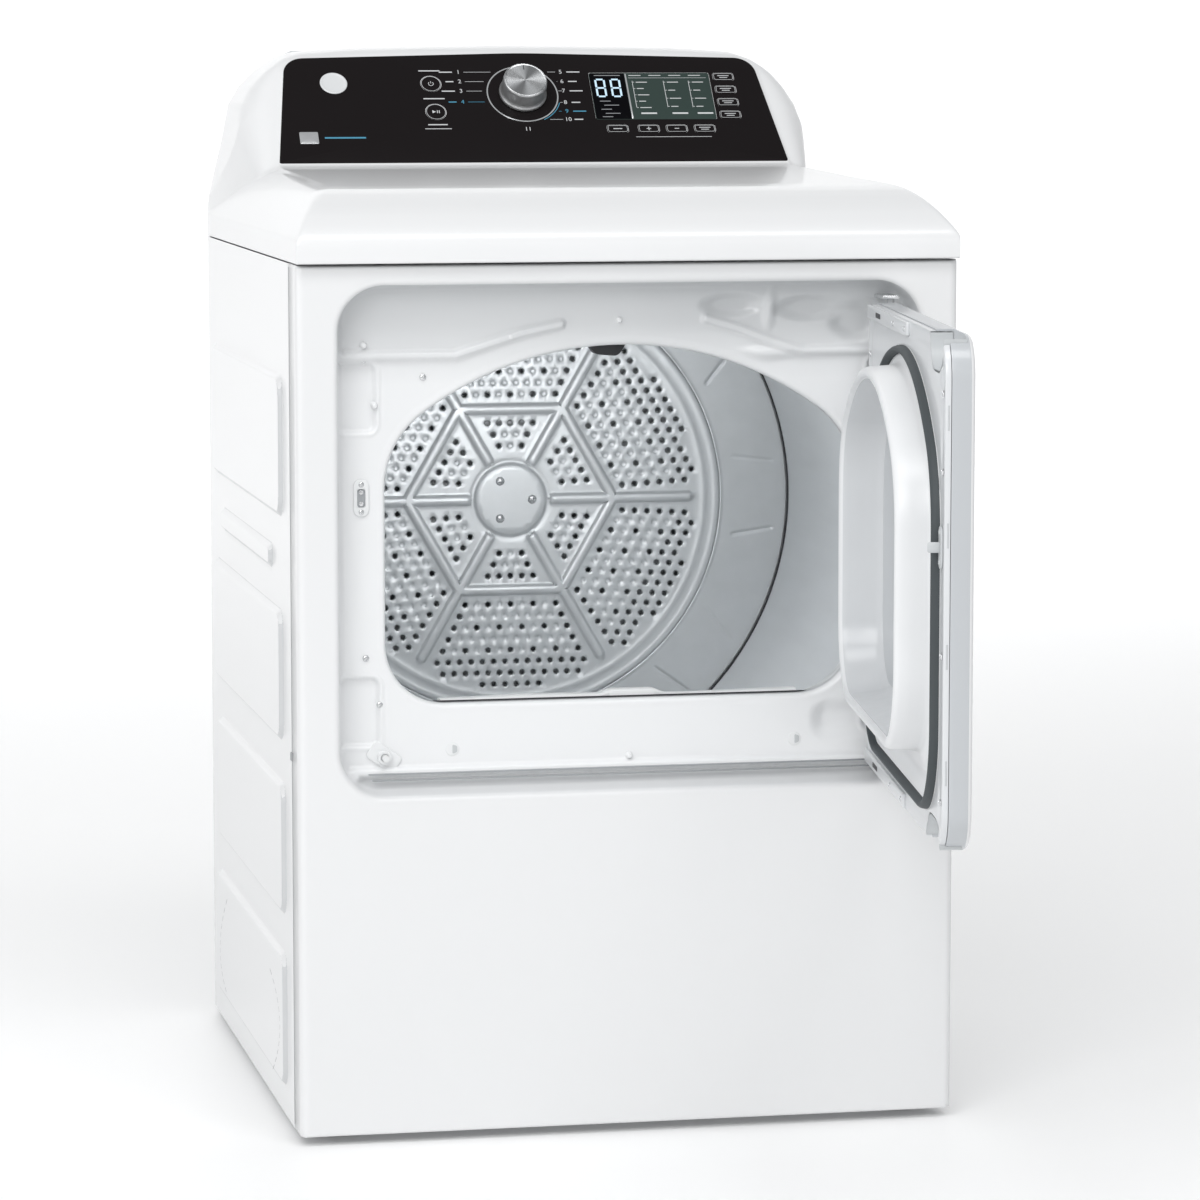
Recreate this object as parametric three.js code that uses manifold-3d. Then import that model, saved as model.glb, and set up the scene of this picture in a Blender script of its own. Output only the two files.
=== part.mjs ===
// Front-loading clothes dryer with its door open, as an assembly of separate pieces.
// Millimetres. X to the right, Y to the back, Z up from the floor.
import * as THREE from 'three';
import { mergeVertices } from 'three/addons/utils/BufferGeometryUtils.js';
import Module from 'manifold-3d';

const wasm = await Module();
wasm.setup();

// ---------------------------------------------------------------- driving dimensions
const GAP = 0.3; // between pieces that touch
const SHEET = 2; // steel sheet of the cabinet

const CABINET = { half: 343, depth: 700, bottom: 15, top: 899 };
const WRAP = 50; // how far the front panel wraps round onto the sides
const SIDE_INNER = CABINET.half - SHEET;
const BASE_HEIGHT = 21;

const RECESS = { left: -301, right: 305, bottom: 357, top: 878, radius: 48, depth: 40 };
const OPENING = { half: 247, arc: 354, arcZ: 458, bottom: 447, corner: 62 };
const LIP = 14; // depth of the rolled lip of the opening
const THROAT_BACK = 80; // plane of the bulkhead plate

const DRUM = { z: 594, radius: 332, wall: 2, front: 86, rear: 668 };
const BULKHEAD_RADIUS = 338;
const COLLAR_RADIUS = 322;

const DOOR = {
  hingeX: 272.5, hingeY: 4, open: 82, // degrees from closed to the modelled rest pose
  edge: 20, reach: 560.5, bottom: 375, top: 855, radius: 40, // hinge-side edge and free edge from the axis
  face: -8, seam: 14, liner: 20, // outer face, joint between pan and liner, inner face
};
const BOWL = { half: 229, arc: 336, bottom: 470, corner: 55, rise: 36, wall: 9, depth: 50 };
const GASKET = { half: 262, arc: 367, bottom: 402, corner: 90, width: 8, height: 15 };
const SCOOP = { reach: 475, radius: 36 }; // half-round notches of the liner, near the free edge
const STRIKE = { x: -272, z: 660 };
const SWITCH = { x: -250, z: 394, tilt: -35 };

const WORKTOP = { front: -8, crestY: 90, crestZ: 972, lipZ: 920, back: 488, wall: 3 };
const CONSOLE = { rear: 702, top: 1118, wall: 4 };
const FASCIA = { y: 500, z: 985.5, rise: 112.5, run: 100, thick: 3, half: 288, topHalf: 262, height: 158 };
const KNOB = { x: -3.5, s: 99.5, radius: 27, face: 24, height: 26 };
const WINDOW = { x0: 76, x1: 215, s0: 62, s1: 131 };
const ROUND_BUTTON = 11.5;
const KEY = { width: 24, height: 11, travel: 0.8 };
const SIDE_KEY_X = 231.5;

const MOTOR = { x: -80, z: 140, radius: 62, front: 198, rear: 322, shaft: 6 };
const PULLEY = 10;
const BELT = { front: 350, rear: 360, thick: 2.2, clear: 1.4 };
const IDLER = { radius: 22, along: 0.72, pivotX: -160, pivotZ: 62 };
const BLOWER = { front: 92, rear: 172, radius: 98, wheel: 80 };
const EXHAUST = { x: 75, z: 100, radius: 51, rear: 732 };
const LINT = { half: 192, front: 56, back: 79.6, bottom: 190 };
const HEATER = { radius: 250, flange: 262, rear: 738, coil: 165 };
const TERMINAL = { x0: -310, x1: -214, z0: 210, z1: 330, depth: 16 };
const FOOT = { x: 300, front: 60, back: 640, disc: 19, stem: 6 };

const DOOR_REACH_Y = DOOR.reach * Math.sin(THREE.MathUtils.degToRad(DOOR.open))
  - DOOR.face * Math.cos(THREE.MathUtils.degToRad(DOOR.open));
const FRONT_Y = DOOR.hingeY - DOOR_REACH_Y; // free edge of the open door
const CENTRE_Y = (FRONT_Y + HEATER.rear) / 2; // middle of the whole object's footprint

// ---------------------------------------------------------------- materials
const material = (color, roughness, metalness = 0) =>
  new THREE.MeshStandardMaterial({ color, roughness, metalness });
const WHITE = material(0xf3f4f5, 0.3);
const WHITE_PLASTIC = material(0xeeeff0, 0.45);
const GREY_PLASTIC = material(0xc8cacc, 0.5);
const DARK_PLASTIC = material(0x2b2d30, 0.55);
const GLOSS_BLACK = material(0x1a1718, 0.12);
const SILVER = material(0xc9ccd0, 0.3, 1);
const STEEL = material(0xa9adb2, 0.4, 1);
const ALUMINISED = material(0xb9bec3, 0.45, 0.9);
const GALVANISED = material(0xa4aab0, 0.5, 0.8);
const RUBBER = material(0x3a4044, 0.8);
const FELT = material(0xb9b4a8, 0.95);
const COPPER_COIL = material(0x8a5a44, 0.5, 0.8);
const GREEN_BOARD = material(0x1f6b46, 0.6);
const GLASS = material(0x3e4b48, 0.1);

// ---------------------------------------------------------------- solid helpers
function solid(geometry) {
  const bare = (geometry.index ? geometry.clone() : geometry).clone();
  bare.deleteAttribute('normal');
  bare.deleteAttribute('uv');
  const merged = mergeVertices(bare, 1e-3);
  const position = merged.attributes.position;
  const triangles = [];
  let volume = 0;
  const a = new THREE.Vector3();
  const b = new THREE.Vector3();
  const c = new THREE.Vector3();
  for (let i = 0; i < merged.index.count; i += 3) {
    const [p, q, r] = [0, 1, 2].map((k) => merged.index.getX(i + k));
    if (p === q || q === r || r === p) continue;
    triangles.push([p, q, r]);
    a.fromBufferAttribute(position, p);
    b.fromBufferAttribute(position, q);
    c.fromBufferAttribute(position, r);
    volume += a.dot(b.cross(c));
  }
  const triVerts = new Uint32Array(triangles.flatMap(([p, q, r]) => (volume < 0 ? [p, r, q] : [p, q, r])));
  const vertProperties = new Float32Array(position.array);
  return new wasm.Manifold(new wasm.Mesh({ numProp: 3, vertProperties, triVerts }));
}

const join = (first, ...rest) => rest.reduce((sum, part) => sum.add(part), first);
const cut = (first, ...rest) => rest.reduce((sum, part) => sum.subtract(part), first);

function box(x0, x1, y0, y1, z0, z1) {
  const geometry = new THREE.BoxGeometry(x1 - x0, y1 - y0, z1 - z0);
  return solid(geometry.translate((x0 + x1) / 2, (y0 + y1) / 2, (z0 + z1) / 2));
}

// An outline in X and Z, as a slab from y0 to y1.
function slabY(shape, y0, y1, segments = 6) {
  const geometry = new THREE.ExtrudeGeometry(shape, { depth: y1 - y0, bevelEnabled: false, curveSegments: segments });
  return solid(geometry.rotateX(Math.PI / 2).translate(0, y1, 0));
}

// An outline in Y and Z, as a slab from x0 to x1.
function slabX(shape, x0, x1, segments = 6) {
  const geometry = new THREE.ExtrudeGeometry(shape, { depth: x1 - x0, bevelEnabled: false, curveSegments: segments });
  const basis = new THREE.Matrix4().makeBasis(
    new THREE.Vector3(0, 1, 0), new THREE.Vector3(0, 0, 1), new THREE.Vector3(1, 0, 0));
  return solid(geometry.applyMatrix4(basis).translate(x0, 0, 0));
}

// An outline in X and Y, as a slab from z0 to z1.
function slabZ(shape, z0, z1, segments = 6) {
  const geometry = new THREE.ExtrudeGeometry(shape, { depth: z1 - z0, bevelEnabled: false, curveSegments: segments });
  return solid(geometry.translate(0, 0, z0));
}

// A profile of [radius, y] points turned about an axis along Y through (x, z).
function turnedY(profile, x = 0, z = 0, segments = 32) {
  const points = profile.map(([radius, y]) => new THREE.Vector2(radius, y));
  return solid(new THREE.LatheGeometry(points, segments).translate(x, 0, z));
}

// A ring profile that closes on itself.
const ringY = (profile, x, z, segments) => turnedY([...profile, profile[0]], x, z, segments);

// A profile of [radius, z] points turned about an axis along Z through (x, y).
function turnedZ(profile, x = 0, y = 0, segments = 20) {
  const points = profile.map(([radius, z]) => new THREE.Vector2(radius, z));
  return solid(new THREE.LatheGeometry(points, segments).rotateX(Math.PI / 2).translate(x, y, 0));
}

const discY = (radius, y0, y1, x = 0, z = 0, segments = 32) =>
  turnedY([[0, y0], [radius, y0], [radius, y1], [0, y1]], x, z, segments);
const discZ = (radius, z0, z1, x = 0, y = 0, segments = 20) =>
  turnedZ([[0, z0], [radius, z0], [radius, z1], [0, z1]], x, y, segments);

function roundedRect(x0, x1, y0, y1, radius) {
  const shape = new THREE.Shape();
  shape.moveTo(x0 + radius, y0);
  shape.lineTo(x1 - radius, y0);
  shape.absarc(x1 - radius, y0 + radius, radius, -Math.PI / 2, 0);
  shape.lineTo(x1, y1 - radius);
  shape.absarc(x1 - radius, y1 - radius, radius, 0, Math.PI / 2);
  shape.lineTo(x0 + radius, y1);
  shape.absarc(x0 + radius, y1 - radius, radius, Math.PI / 2, Math.PI);
  shape.lineTo(x0, y0 + radius);
  shape.absarc(x0 + radius, y0 + radius, radius, Math.PI, 1.5 * Math.PI);
  return shape;
}

const polygon = (points) => new THREE.Shape(points.map(([x, y]) => new THREE.Vector2(x, y)));

// The drum opening's outline: an arched top, upright sides and a flat bottom with round corners.
// The same form, larger or smaller, serves the door's bowl and its gasket.
function archOutline({ half, arc, bottom, corner }, grow = 0) {
  const side = half + grow;
  const radius = arc + grow;
  const low = bottom - grow;
  const round = corner + grow;
  const edge = Math.acos(side / radius);
  const shape = new THREE.Shape();
  shape.moveTo(-side + round, low);
  shape.lineTo(side - round, low);
  shape.absarc(side - round, low + round, round, -Math.PI / 2, 0);
  shape.absarc(0, OPENING.arcZ, radius, edge, Math.PI - edge);
  shape.absarc(-side + round, low + round, round, Math.PI, 1.5 * Math.PI);
  return shape;
}

const group = new THREE.Group();
group.position.y = -CENTRE_Y;

function add(name, manifold, finish, parent = group) {
  const { vertProperties, triVerts } = manifold.getMesh();
  const geometry = new THREE.BufferGeometry();
  geometry.setAttribute('position', new THREE.BufferAttribute(new Float32Array(vertProperties), 3));
  geometry.setIndex(new THREE.BufferAttribute(new Uint32Array(triVerts), 1));
  geometry.computeVertexNormals();
  const mesh = new THREE.Mesh(geometry, finish);
  mesh.name = name;
  parent.add(mesh);
}

// ---------------------------------------------------------------- cabinet
function baseFrame() {
  const side = SIDE_INNER - GAP;
  const y0 = SHEET + GAP;
  const y1 = CABINET.depth - SHEET - GAP;
  const z0 = CABINET.bottom;
  const tray = cut(slabZ(roundedRect(-side, side, y0, y1, 7), z0, z0 + BASE_HEIGHT, 3),
    slabZ(roundedRect(-side + SHEET, side - SHEET, y0 + SHEET, y1 - SHEET, 5), z0 + SHEET, z0 + BASE_HEIGHT + 1, 3));
  const holes = footPlaces().map(([x, y]) => discZ(FOOT.stem + GAP, z0 - 1, z0 + 4, x, y));
  return cut(tray, ...holes);
}

const footPlaces = () => [
  [-FOOT.x, FOOT.front], [FOOT.x, FOOT.front], [-FOOT.x, FOOT.back], [FOOT.x, FOOT.back]];

function foot(x, y) {
  return turnedZ([[0, 0], [FOOT.disc, 0], [FOOT.disc, 3], [FOOT.disc - 4, 6], [FOOT.stem, 6],
    [FOOT.stem, 42], [0, 42]], x, y, 14);
}

// Raised fields of each side panel, as [y0, y1, z0, z1].
const SIDE_FIELDS = [
  [100, 645, 635, 782], [180, 578, 575, 601], [106, 645, 402, 539], [96, 626, 221, 360], [97, 640, 40, 182]];
const EMBOSS = 2.5;

function sidePanel(sign) {
  const span = (near, far) => (sign > 0 ? [near, far] : [-far, -near]);
  let panel = box(...span(SIDE_INNER, CABINET.half), WRAP + GAP, CABINET.depth, CABINET.bottom, CABINET.top);
  for (const [y0, y1, z0, z1] of SIDE_FIELDS) {
    const radius = Math.min(20, (z1 - z0) / 3);
    const field = (inset, near, far) => slabX(
      roundedRect(y0 + inset, y1 - inset, z0 + inset, z1 - inset, radius - inset), ...span(near, far), 2);
    panel = panel.add(field(0, SIDE_INNER, CABINET.half + EMBOSS));
    panel = panel.subtract(field(SHEET, SIDE_INNER - 1, CABINET.half + EMBOSS - SHEET));
  }
  return panel;
}

function frontPanel() {
  const { half, bottom, top } = CABINET;
  const inner = SHEET;
  const outline = roundedRect(-half, half, 0, WRAP + 20, 7);
  const hollow = roundedRect(-half + inner, half - inner, inner, WRAP + 30, 5);
  let panel = cut(slabZ(outline, bottom, top - GAP, 3), slabZ(hollow, bottom - 1, top + 1, 3),
    box(-half - 1, half + 1, WRAP, WRAP + 40, bottom - 1, top + 1));
  const recess = (inset) => roundedRect(RECESS.left + inset, RECESS.right - inset,
    RECESS.bottom + inset, RECESS.top - inset, RECESS.radius - inset);
  panel = panel.add(slabY(recess(0), 0, RECESS.depth + SHEET));
  panel = panel.subtract(slabY(recess(SHEET), -1, RECESS.depth));
  panel = panel.add(slabY(archOutline(OPENING, SHEET), RECESS.depth, RECESS.depth + LIP));
  panel = panel.subtract(slabY(archOutline(OPENING), RECESS.depth - 1, RECESS.depth + LIP + 1));
  const catchHole = slabY(roundedRect(STRIKE.x - 5.8, STRIKE.x + 5.8, STRIKE.z - 12, STRIKE.z + 12, 4),
    RECESS.depth - 1, RECESS.depth + 4, 3);
  return panel.subtract(catchHole);
}

function rearPanel() {
  const side = SIDE_INNER - GAP;
  const plate = polygon([[-side, CABINET.bottom], [side, CABINET.bottom], [side, CABINET.top], [-side, CABINET.top]]);
  const spokes = 3;
  for (let i = 0; i < spokes; i += 1) {
    const start = Math.PI / 2 + (i * 2 * Math.PI) / spokes + 0.14;
    const end = start + (2 * Math.PI) / spokes - 0.28;
    const window = new THREE.Path();
    window.absarc(0, DRUM.z, 230, start, end, false);
    window.absarc(0, DRUM.z, 48, end - 0.2, start + 0.2, true);
    plate.holes.push(window);
  }
  const bearing = new THREE.Path();
  bearing.absarc(0, DRUM.z, 22.3, 0, 2 * Math.PI);
  const exhaust = new THREE.Path();
  exhaust.absarc(EXHAUST.x, EXHAUST.z, EXHAUST.radius + 1, 0, 2 * Math.PI);
  plate.holes.push(bearing, exhaust);
  return slabY(plate, CABINET.depth - SHEET, CABINET.depth, 10);
}

// ---------------------------------------------------------------- drum front support
function frontBulkhead() {
  const plate = cut(discY(BULKHEAD_RADIUS, THROAT_BACK, THROAT_BACK + SHEET, 0, DRUM.z, 48),
    slabY(archOutline(OPENING, 4), THROAT_BACK - 1, THROAT_BACK + 4));
  const collar = ringY([[COLLAR_RADIUS - 2, THROAT_BACK + 1], [COLLAR_RADIUS, THROAT_BACK + 1],
    [COLLAR_RADIUS, THROAT_BACK + 24], [COLLAR_RADIUS - 2, THROAT_BACK + 24]], 0, DRUM.z, 48);
  const front = RECESS.depth + LIP + GAP;
  const throat = cut(slabY(archOutline(OPENING, 6), front, THROAT_BACK + 1),
    slabY(archOutline(OPENING, 4), front - 1, THROAT_BACK + 2));
  const filterSlot = box(-LINT.half, LINT.half, LINT.front, THROAT_BACK + 1.9, OPENING.bottom - 12, OPENING.bottom + 4);
  return cut(join(plate, collar, throat), filterSlot);
}

const FELT_RADIUS = DRUM.radius - DRUM.wall - 1; // the drum turns round the felt
const frontFeltSeal = () => ringY([[COLLAR_RADIUS + GAP, DRUM.front + 2], [FELT_RADIUS, DRUM.front + 2],
  [FELT_RADIUS, DRUM.front + 16], [COLLAR_RADIUS + GAP, DRUM.front + 16]], 0, DRUM.z, 48);

// ---------------------------------------------------------------- drum
const drumShell = () => ringY([[DRUM.radius, DRUM.front], [DRUM.radius, DRUM.rear],
  [DRUM.radius - DRUM.wall, DRUM.rear], [DRUM.radius - DRUM.wall, DRUM.front]], 0, DRUM.z, 48);

function drumRearHead() {
  const y = DRUM.rear - 3;
  const rim = DRUM.radius - DRUM.wall - 4 * GAP;
  return turnedY([[0, y - 4], [42, y - 4], [45, y - 1], [229, y - 1], [232, y - 4], [240, y - 4], [243, y - 1],
    [rim, y - 1], [rim, y + 2], [243, y + 2], [240, y - 1], [232, y - 1], [229, y + 2], [45, y + 2], [42, y],
    [0, y]], 0, DRUM.z, 32);
}

const drumShaft = () => turnedY([[0, DRUM.rear - 2.7], [40, DRUM.rear - 2.7], [40, DRUM.rear + 1],
  [16, DRUM.rear + 6], [9.95, DRUM.rear + 8], [9.95, 716], [0, 716]], 0, DRUM.z, 24);

const drumBearing = () => ringY([[10.3, 684], [22, 684], [22, CABINET.depth + GAP], [30, CABINET.depth + GAP],
  [30, 704], [10.3, 704]], 0, DRUM.z, 24);

// A lifter: a hollow-looking ridge along the drum, at the given angle.
function lifter(angle) {
  const base = DRUM.radius - DRUM.wall - 2.2;
  const section = polygon([[-30, base], [30, base], [22, base - 24], [11, base - 44], [0, base - 48],
    [-11, base - 44], [-22, base - 24]]);
  const ridge = slabY(section, 115, 625);
  const place = new THREE.Matrix4().makeTranslation(0, 0, DRUM.z)
    .multiply(new THREE.Matrix4().makeRotationY(Math.PI / 2 - angle));
  return ridge.transform(place.elements.slice());
}

// ---------------------------------------------------------------- air path
function lintDuct() {
  const side = LINT.half + 2;
  const outer = join(box(-side, side, LINT.front + GAP, LINT.back, LINT.bottom, OPENING.bottom - 16),
    box(-150, -10, LINT.front + GAP, BLOWER.front - GAP, 76, 216));
  const inner = join(box(-side + 2, side - 2, LINT.front + 2, LINT.back - 2, LINT.bottom + 2, OPENING.bottom + 10),
    box(-148, -12, LINT.front + 2, BLOWER.front - 2, 78, 214),
    discY(60, BLOWER.front - 4, BLOWER.front + 2, MOTOR.x, MOTOR.z, 24));
  return cut(outer, inner);
}

function lintFilter() {
  const front = LINT.front + 3;
  const back = LINT.back - 3;
  const low = LINT.bottom + 8;
  const top = OPENING.bottom;
  const frame = cut(box(-LINT.half + 2, LINT.half - 2, front, back, low, top - 14),
    box(-LINT.half + 14, LINT.half - 14, front - 1, front + 5, low + 12, top - 28));
  const handle = box(-LINT.half + 1.5, LINT.half - 1.5, LINT.front + 1, THROAT_BACK - 1, top - 15, top - 3);
  const grip = slabY(roundedRect(-18, 46, top - 6, top + 7, 6), LINT.front + 3, THROAT_BACK - 3, 4);
  return join(frame, handle, grip);
}

function blowerHousing() {
  const scroll = (inset) => join(
    discY(BLOWER.radius - inset, BLOWER.front + inset, BLOWER.rear - inset, MOTOR.x, MOTOR.z, 32),
    box(MOTOR.x, EXHAUST.x + 53 - inset, BLOWER.front + inset, BLOWER.rear - inset, 44 + inset, 156 - inset));
  return cut(scroll(0), scroll(2), discY(58, BLOWER.front - 1, BLOWER.front + 3, MOTOR.x, MOTOR.z, 24),
    discY(14, BLOWER.rear - 4, BLOWER.rear + 1, MOTOR.x, MOTOR.z, 16),
    discY(EXHAUST.radius - 3, BLOWER.rear - 4, BLOWER.rear + 1, EXHAUST.x, EXHAUST.z, 24));
}

const blowerWheel = () => ringY([[MOTOR.shaft + GAP, 100], [14, 100], [14, 144], [75, 144], [75, 104],
  [BLOWER.wheel, 104], [BLOWER.wheel, 148], [MOTOR.shaft + GAP, 148]], MOTOR.x, MOTOR.z, 24);

const exhaustDuct = () => ringY([[EXHAUST.radius - 2, BLOWER.rear + GAP], [EXHAUST.radius + 7, BLOWER.rear + GAP],
  [EXHAUST.radius + 7, BLOWER.rear + 3], [EXHAUST.radius, BLOWER.rear + 3], [EXHAUST.radius, EXHAUST.rear],
  [EXHAUST.radius - 2, EXHAUST.rear]], EXHAUST.x, EXHAUST.z, 24);

function heaterCover() {
  const y = CABINET.depth + GAP;
  return turnedY([[0, HEATER.rear], [HEATER.radius - 18, HEATER.rear], [HEATER.radius - 4, HEATER.rear - 10],
    [HEATER.radius, y + 2], [HEATER.flange, y + 2], [HEATER.flange, y], [HEATER.radius - 2, y],
    [HEATER.radius - 6, HEATER.rear - 11], [HEATER.radius - 19, HEATER.rear - 2], [0, HEATER.rear - 2]],
  0, DRUM.z, 32);
}

function heaterCoil() {
  const ring = solid(new THREE.TorusGeometry(HEATER.coil, 6, 6, 28).rotateX(Math.PI / 2).translate(0, 716, DRUM.z));
  const legs = [0, 1, 2].map((i) => {
    const angle = Math.PI / 2 + (i * 2 * Math.PI) / 3;
    return discY(4, 716, HEATER.rear - 2 - GAP, HEATER.coil * Math.cos(angle), DRUM.z + HEATER.coil * Math.sin(angle), 8);
  });
  return join(ring, ...legs);
}

// ---------------------------------------------------------------- drive
const motorBody = () => ringY([[MOTOR.shaft + 0.5, MOTOR.front], [20, MOTOR.front], [20, MOTOR.front + 6],
  [MOTOR.radius, MOTOR.front + 12], [MOTOR.radius, MOTOR.rear - 12], [20, MOTOR.rear - 6], [20, MOTOR.rear],
  [MOTOR.shaft + 0.5, MOTOR.rear]], MOTOR.x, MOTOR.z, 28);

function motorBracket() {
  const base = CABINET.bottom + SHEET + GAP;
  const feet = box(MOTOR.x - 80, MOTOR.x + 60, 205, 315, base, base + 4);
  const front = box(MOTOR.x - 45, MOTOR.x + 45, 214, 224, base, MOTOR.z - 20);
  const rear = box(MOTOR.x - 45, MOTOR.x + 45, 296, 306, base, MOTOR.z - 20);
  const saddle = discY(MOTOR.radius + GAP, 200, 320, MOTOR.x, MOTOR.z, 28);
  const post = box(IDLER.pivotX - 9, IDLER.pivotX + 9, 300, 366, base + 1, IDLER.pivotZ + 9);
  const pin = discY(6, 364, 374, IDLER.pivotX, IDLER.pivotZ, 16);
  return join(cut(join(feet, front, rear), saddle), box(IDLER.pivotX - 9, MOTOR.x - 40, 300, 312, base, base + 20),
    post, pin);
}

const motorRotor = () => turnedY([[0, 97], [MOTOR.shaft, 97], [MOTOR.shaft, BELT.front - 6], [16, BELT.front - 6],
  [16, BELT.front - 4], [PULLEY, BELT.front - 1], [PULLEY, BELT.rear + 1], [16, BELT.rear + 4],
  [16, BELT.rear + 6], [MOTOR.shaft, BELT.rear + 6], [MOTOR.shaft, 376], [0, 376]], MOTOR.x, MOTOR.z, 14);

// Where the belt's straight runs leave the drum and meet the motor pulley.
function beltTangents() {
  const drum = new THREE.Vector2(0, DRUM.z);
  const pulley = new THREE.Vector2(MOTOR.x, MOTOR.z);
  const line = pulley.clone().sub(drum);
  const spread = Math.acos((DRUM.radius - PULLEY) / line.length());
  return { drum, pulley, right: line.angle() + spread, left: line.angle() - spread };
}

function beltLoop(extra) {
  const { drum, pulley, right, left } = beltTangents();
  const shape = new THREE.Shape();
  shape.absarc(drum.x, drum.y, DRUM.radius + extra, right, left + 2 * Math.PI, false);
  shape.absarc(pulley.x, pulley.y, PULLEY + extra, left, right, false);
  shape.closePath();
  return shape;
}

const drumBelt = () => cut(slabY(beltLoop(BELT.clear + BELT.thick), BELT.front, BELT.rear, 30),
  slabY(beltLoop(BELT.clear), BELT.front - 1, BELT.rear + 1, 30));

// The idler runs on the outside of the belt's left run.
function idlerCentre() {
  const { drum, pulley, left } = beltTangents();
  const outward = new THREE.Vector2(Math.cos(left), Math.sin(left));
  const start = drum.clone().addScaledVector(outward, DRUM.radius);
  const end = pulley.clone().addScaledVector(outward, PULLEY);
  return start.lerp(end, IDLER.along).addScaledVector(outward, BELT.clear + BELT.thick + 0.5 + IDLER.radius);
}

function idlerPulley() {
  const { x, y } = idlerCentre();
  return ringY([[4.3, BELT.front - 3], [IDLER.radius, BELT.front - 3], [IDLER.radius, BELT.rear + 3],
    [4.3, BELT.rear + 3]], x, y, 24);
}

function idlerArm() {
  const { x, y } = idlerCentre();
  const along = new THREE.Vector2(x - IDLER.pivotX, y - IDLER.pivotZ);
  const length = along.length();
  const shape = roundedRect(-11, length + 9, -10, 10, 9.9);
  const arm = slabY(shape, 366.4, 369.4, 5);
  const place = new THREE.Matrix4().makeTranslation(IDLER.pivotX, 0, IDLER.pivotZ)
    .multiply(new THREE.Matrix4().makeRotationY(-along.angle()));
  const axle = discY(4, BELT.front - 5, 367, x, y, 12);
  return cut(join(arm.transform(place.elements.slice()), axle), discY(6.3, 360, 372, IDLER.pivotX, IDLER.pivotZ, 16));
}

// ---------------------------------------------------------------- worktop and console
// The side view of the worktop: a lip, a long soft curve up to the crest, and the top.
function worktopSide(inset, back) {
  const { front, crestY, crestZ, lipZ } = WORKTOP;
  const shape = new THREE.Shape();
  shape.moveTo(front + inset, CABINET.top + 2 * GAP - (inset ? 5 : 0));
  shape.lineTo(front + inset, lipZ);
  shape.quadraticCurveTo(front + 6 + inset, lipZ + 26 - inset, crestY * 0.45 + inset, crestZ - 12 - inset);
  shape.quadraticCurveTo(crestY * 0.75, crestZ - 2 - inset, crestY * 1.4, crestZ - inset);
  shape.lineTo(back, crestZ - 6 - inset);
  shape.lineTo(back, CABINET.top + 2 * GAP - (inset ? 5 : 0));
  return shape;
}

// The front view of the worktop: upright lips and sloping shoulders.
function worktopFront(inset) {
  const half = CABINET.half - inset;
  const low = CABINET.top - 10;
  return polygon([[-half, low], [half, low], [half, 926], [336 - inset, 941], [326 - inset, 955 - inset],
    [307 - inset, 975 - inset], [-307 + inset, 975 - inset], [-326 + inset, 955 - inset], [-336 + inset, 941],
    [-half, 926]]);
}

const topBody = (inset, y0, y1) => slabX(worktopSide(inset, y1), -400, 400, 4)
  .intersect(slabY(worktopFront(inset), -50, y1 + 50))
  .intersect(box(-400, 400, y0, y1, 800, 1200));

const worktop = () => cut(topBody(0, -50, WORKTOP.back - GAP), topBody(WORKTOP.wall, -50, WORKTOP.back + 10));

// The raised part of the console that carries the fascia.
function consoleCrown(inset) {
  const face = inset ? 7 : 0; // the sloping wall is thicker, to seat the fascia
  const { y, z } = FASCIA;
  const slope = FASCIA.rise / FASCIA.run;
  const low = 930;
  const side = new THREE.Shape();
  const fascia = (dy) => [y + dy + face * 1.3, z + dy * slope];
  side.moveTo(WORKTOP.back + inset, low);
  side.lineTo(WORKTOP.back + inset, 966);
  side.lineTo(...fascia(-6));
  side.lineTo(...fascia(108));
  side.quadraticCurveTo(y + 118 + inset, CONSOLE.top - 1 - inset, y + 145, CONSOLE.top - inset);
  side.lineTo(CONSOLE.rear - 12, CONSOLE.top - 2 - inset);
  side.quadraticCurveTo(CONSOLE.rear, CONSOLE.top - 3 - inset, CONSOLE.rear + (inset ? 9 : 0), CONSOLE.top - 16 - inset);
  side.lineTo(CONSOLE.rear + (inset ? 9 : 0), low);
  const half = CABINET.half - inset;
  const end = [[half, low], [half - 8, 960], [half - 16, 1007], [half - 25, 1048], [half - 36, 1072 - inset],
    [half - 54, 1092 - inset], [half - 78, 1106 - inset], [half - 110, 1112 - inset], [half - 200, 1117 - inset]];
  const front = polygon([...end, ...end.map(([x, h]) => [-x, h]).reverse()]);
  const plan = polygon([[-310 + inset, WORKTOP.back - 20], [310 - inset, WORKTOP.back - 20], [half - 4, 640],
    [half, CONSOLE.rear + 20], [-half, CONSOLE.rear + 20], [-half + 4, 640]]);
  return slabX(side, -400, 400, 5).intersect(slabY(front, 400, 800)).intersect(slabZ(plan, 800, 1200));
}

const fasciaFrame = new THREE.Group();
fasciaFrame.position.set(0, FASCIA.y, FASCIA.z);
fasciaFrame.rotation.x = Math.atan2(FASCIA.rise, FASCIA.run);
group.add(fasciaFrame);
fasciaFrame.updateMatrix();

// Moves a solid from the fascia's own frame (X, up the slope, outward) to the dryer's.
const ontoSlope = (manifold) => manifold.transform(fasciaFrame.matrix.elements.slice());

function fasciaOutline(grow = 0) {
  const { half, topHalf, height } = FASCIA;
  const round = 26;
  const shape = new THREE.Shape();
  shape.moveTo(-half - grow, -grow);
  shape.lineTo(half + grow, -grow);
  shape.lineTo(topHalf + 6 + grow, height - round);
  shape.quadraticCurveTo(topHalf + 1 + grow, height + grow - 3, topHalf - round + grow, height + grow - 1);
  shape.lineTo(0, height + grow + 3);
  shape.lineTo(-topHalf + round - grow, height + grow - 1);
  shape.quadraticCurveTo(-topHalf - 1 - grow, height + grow - 3, -topHalf - 6 - grow, height - round);
  return shape;
}

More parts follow.
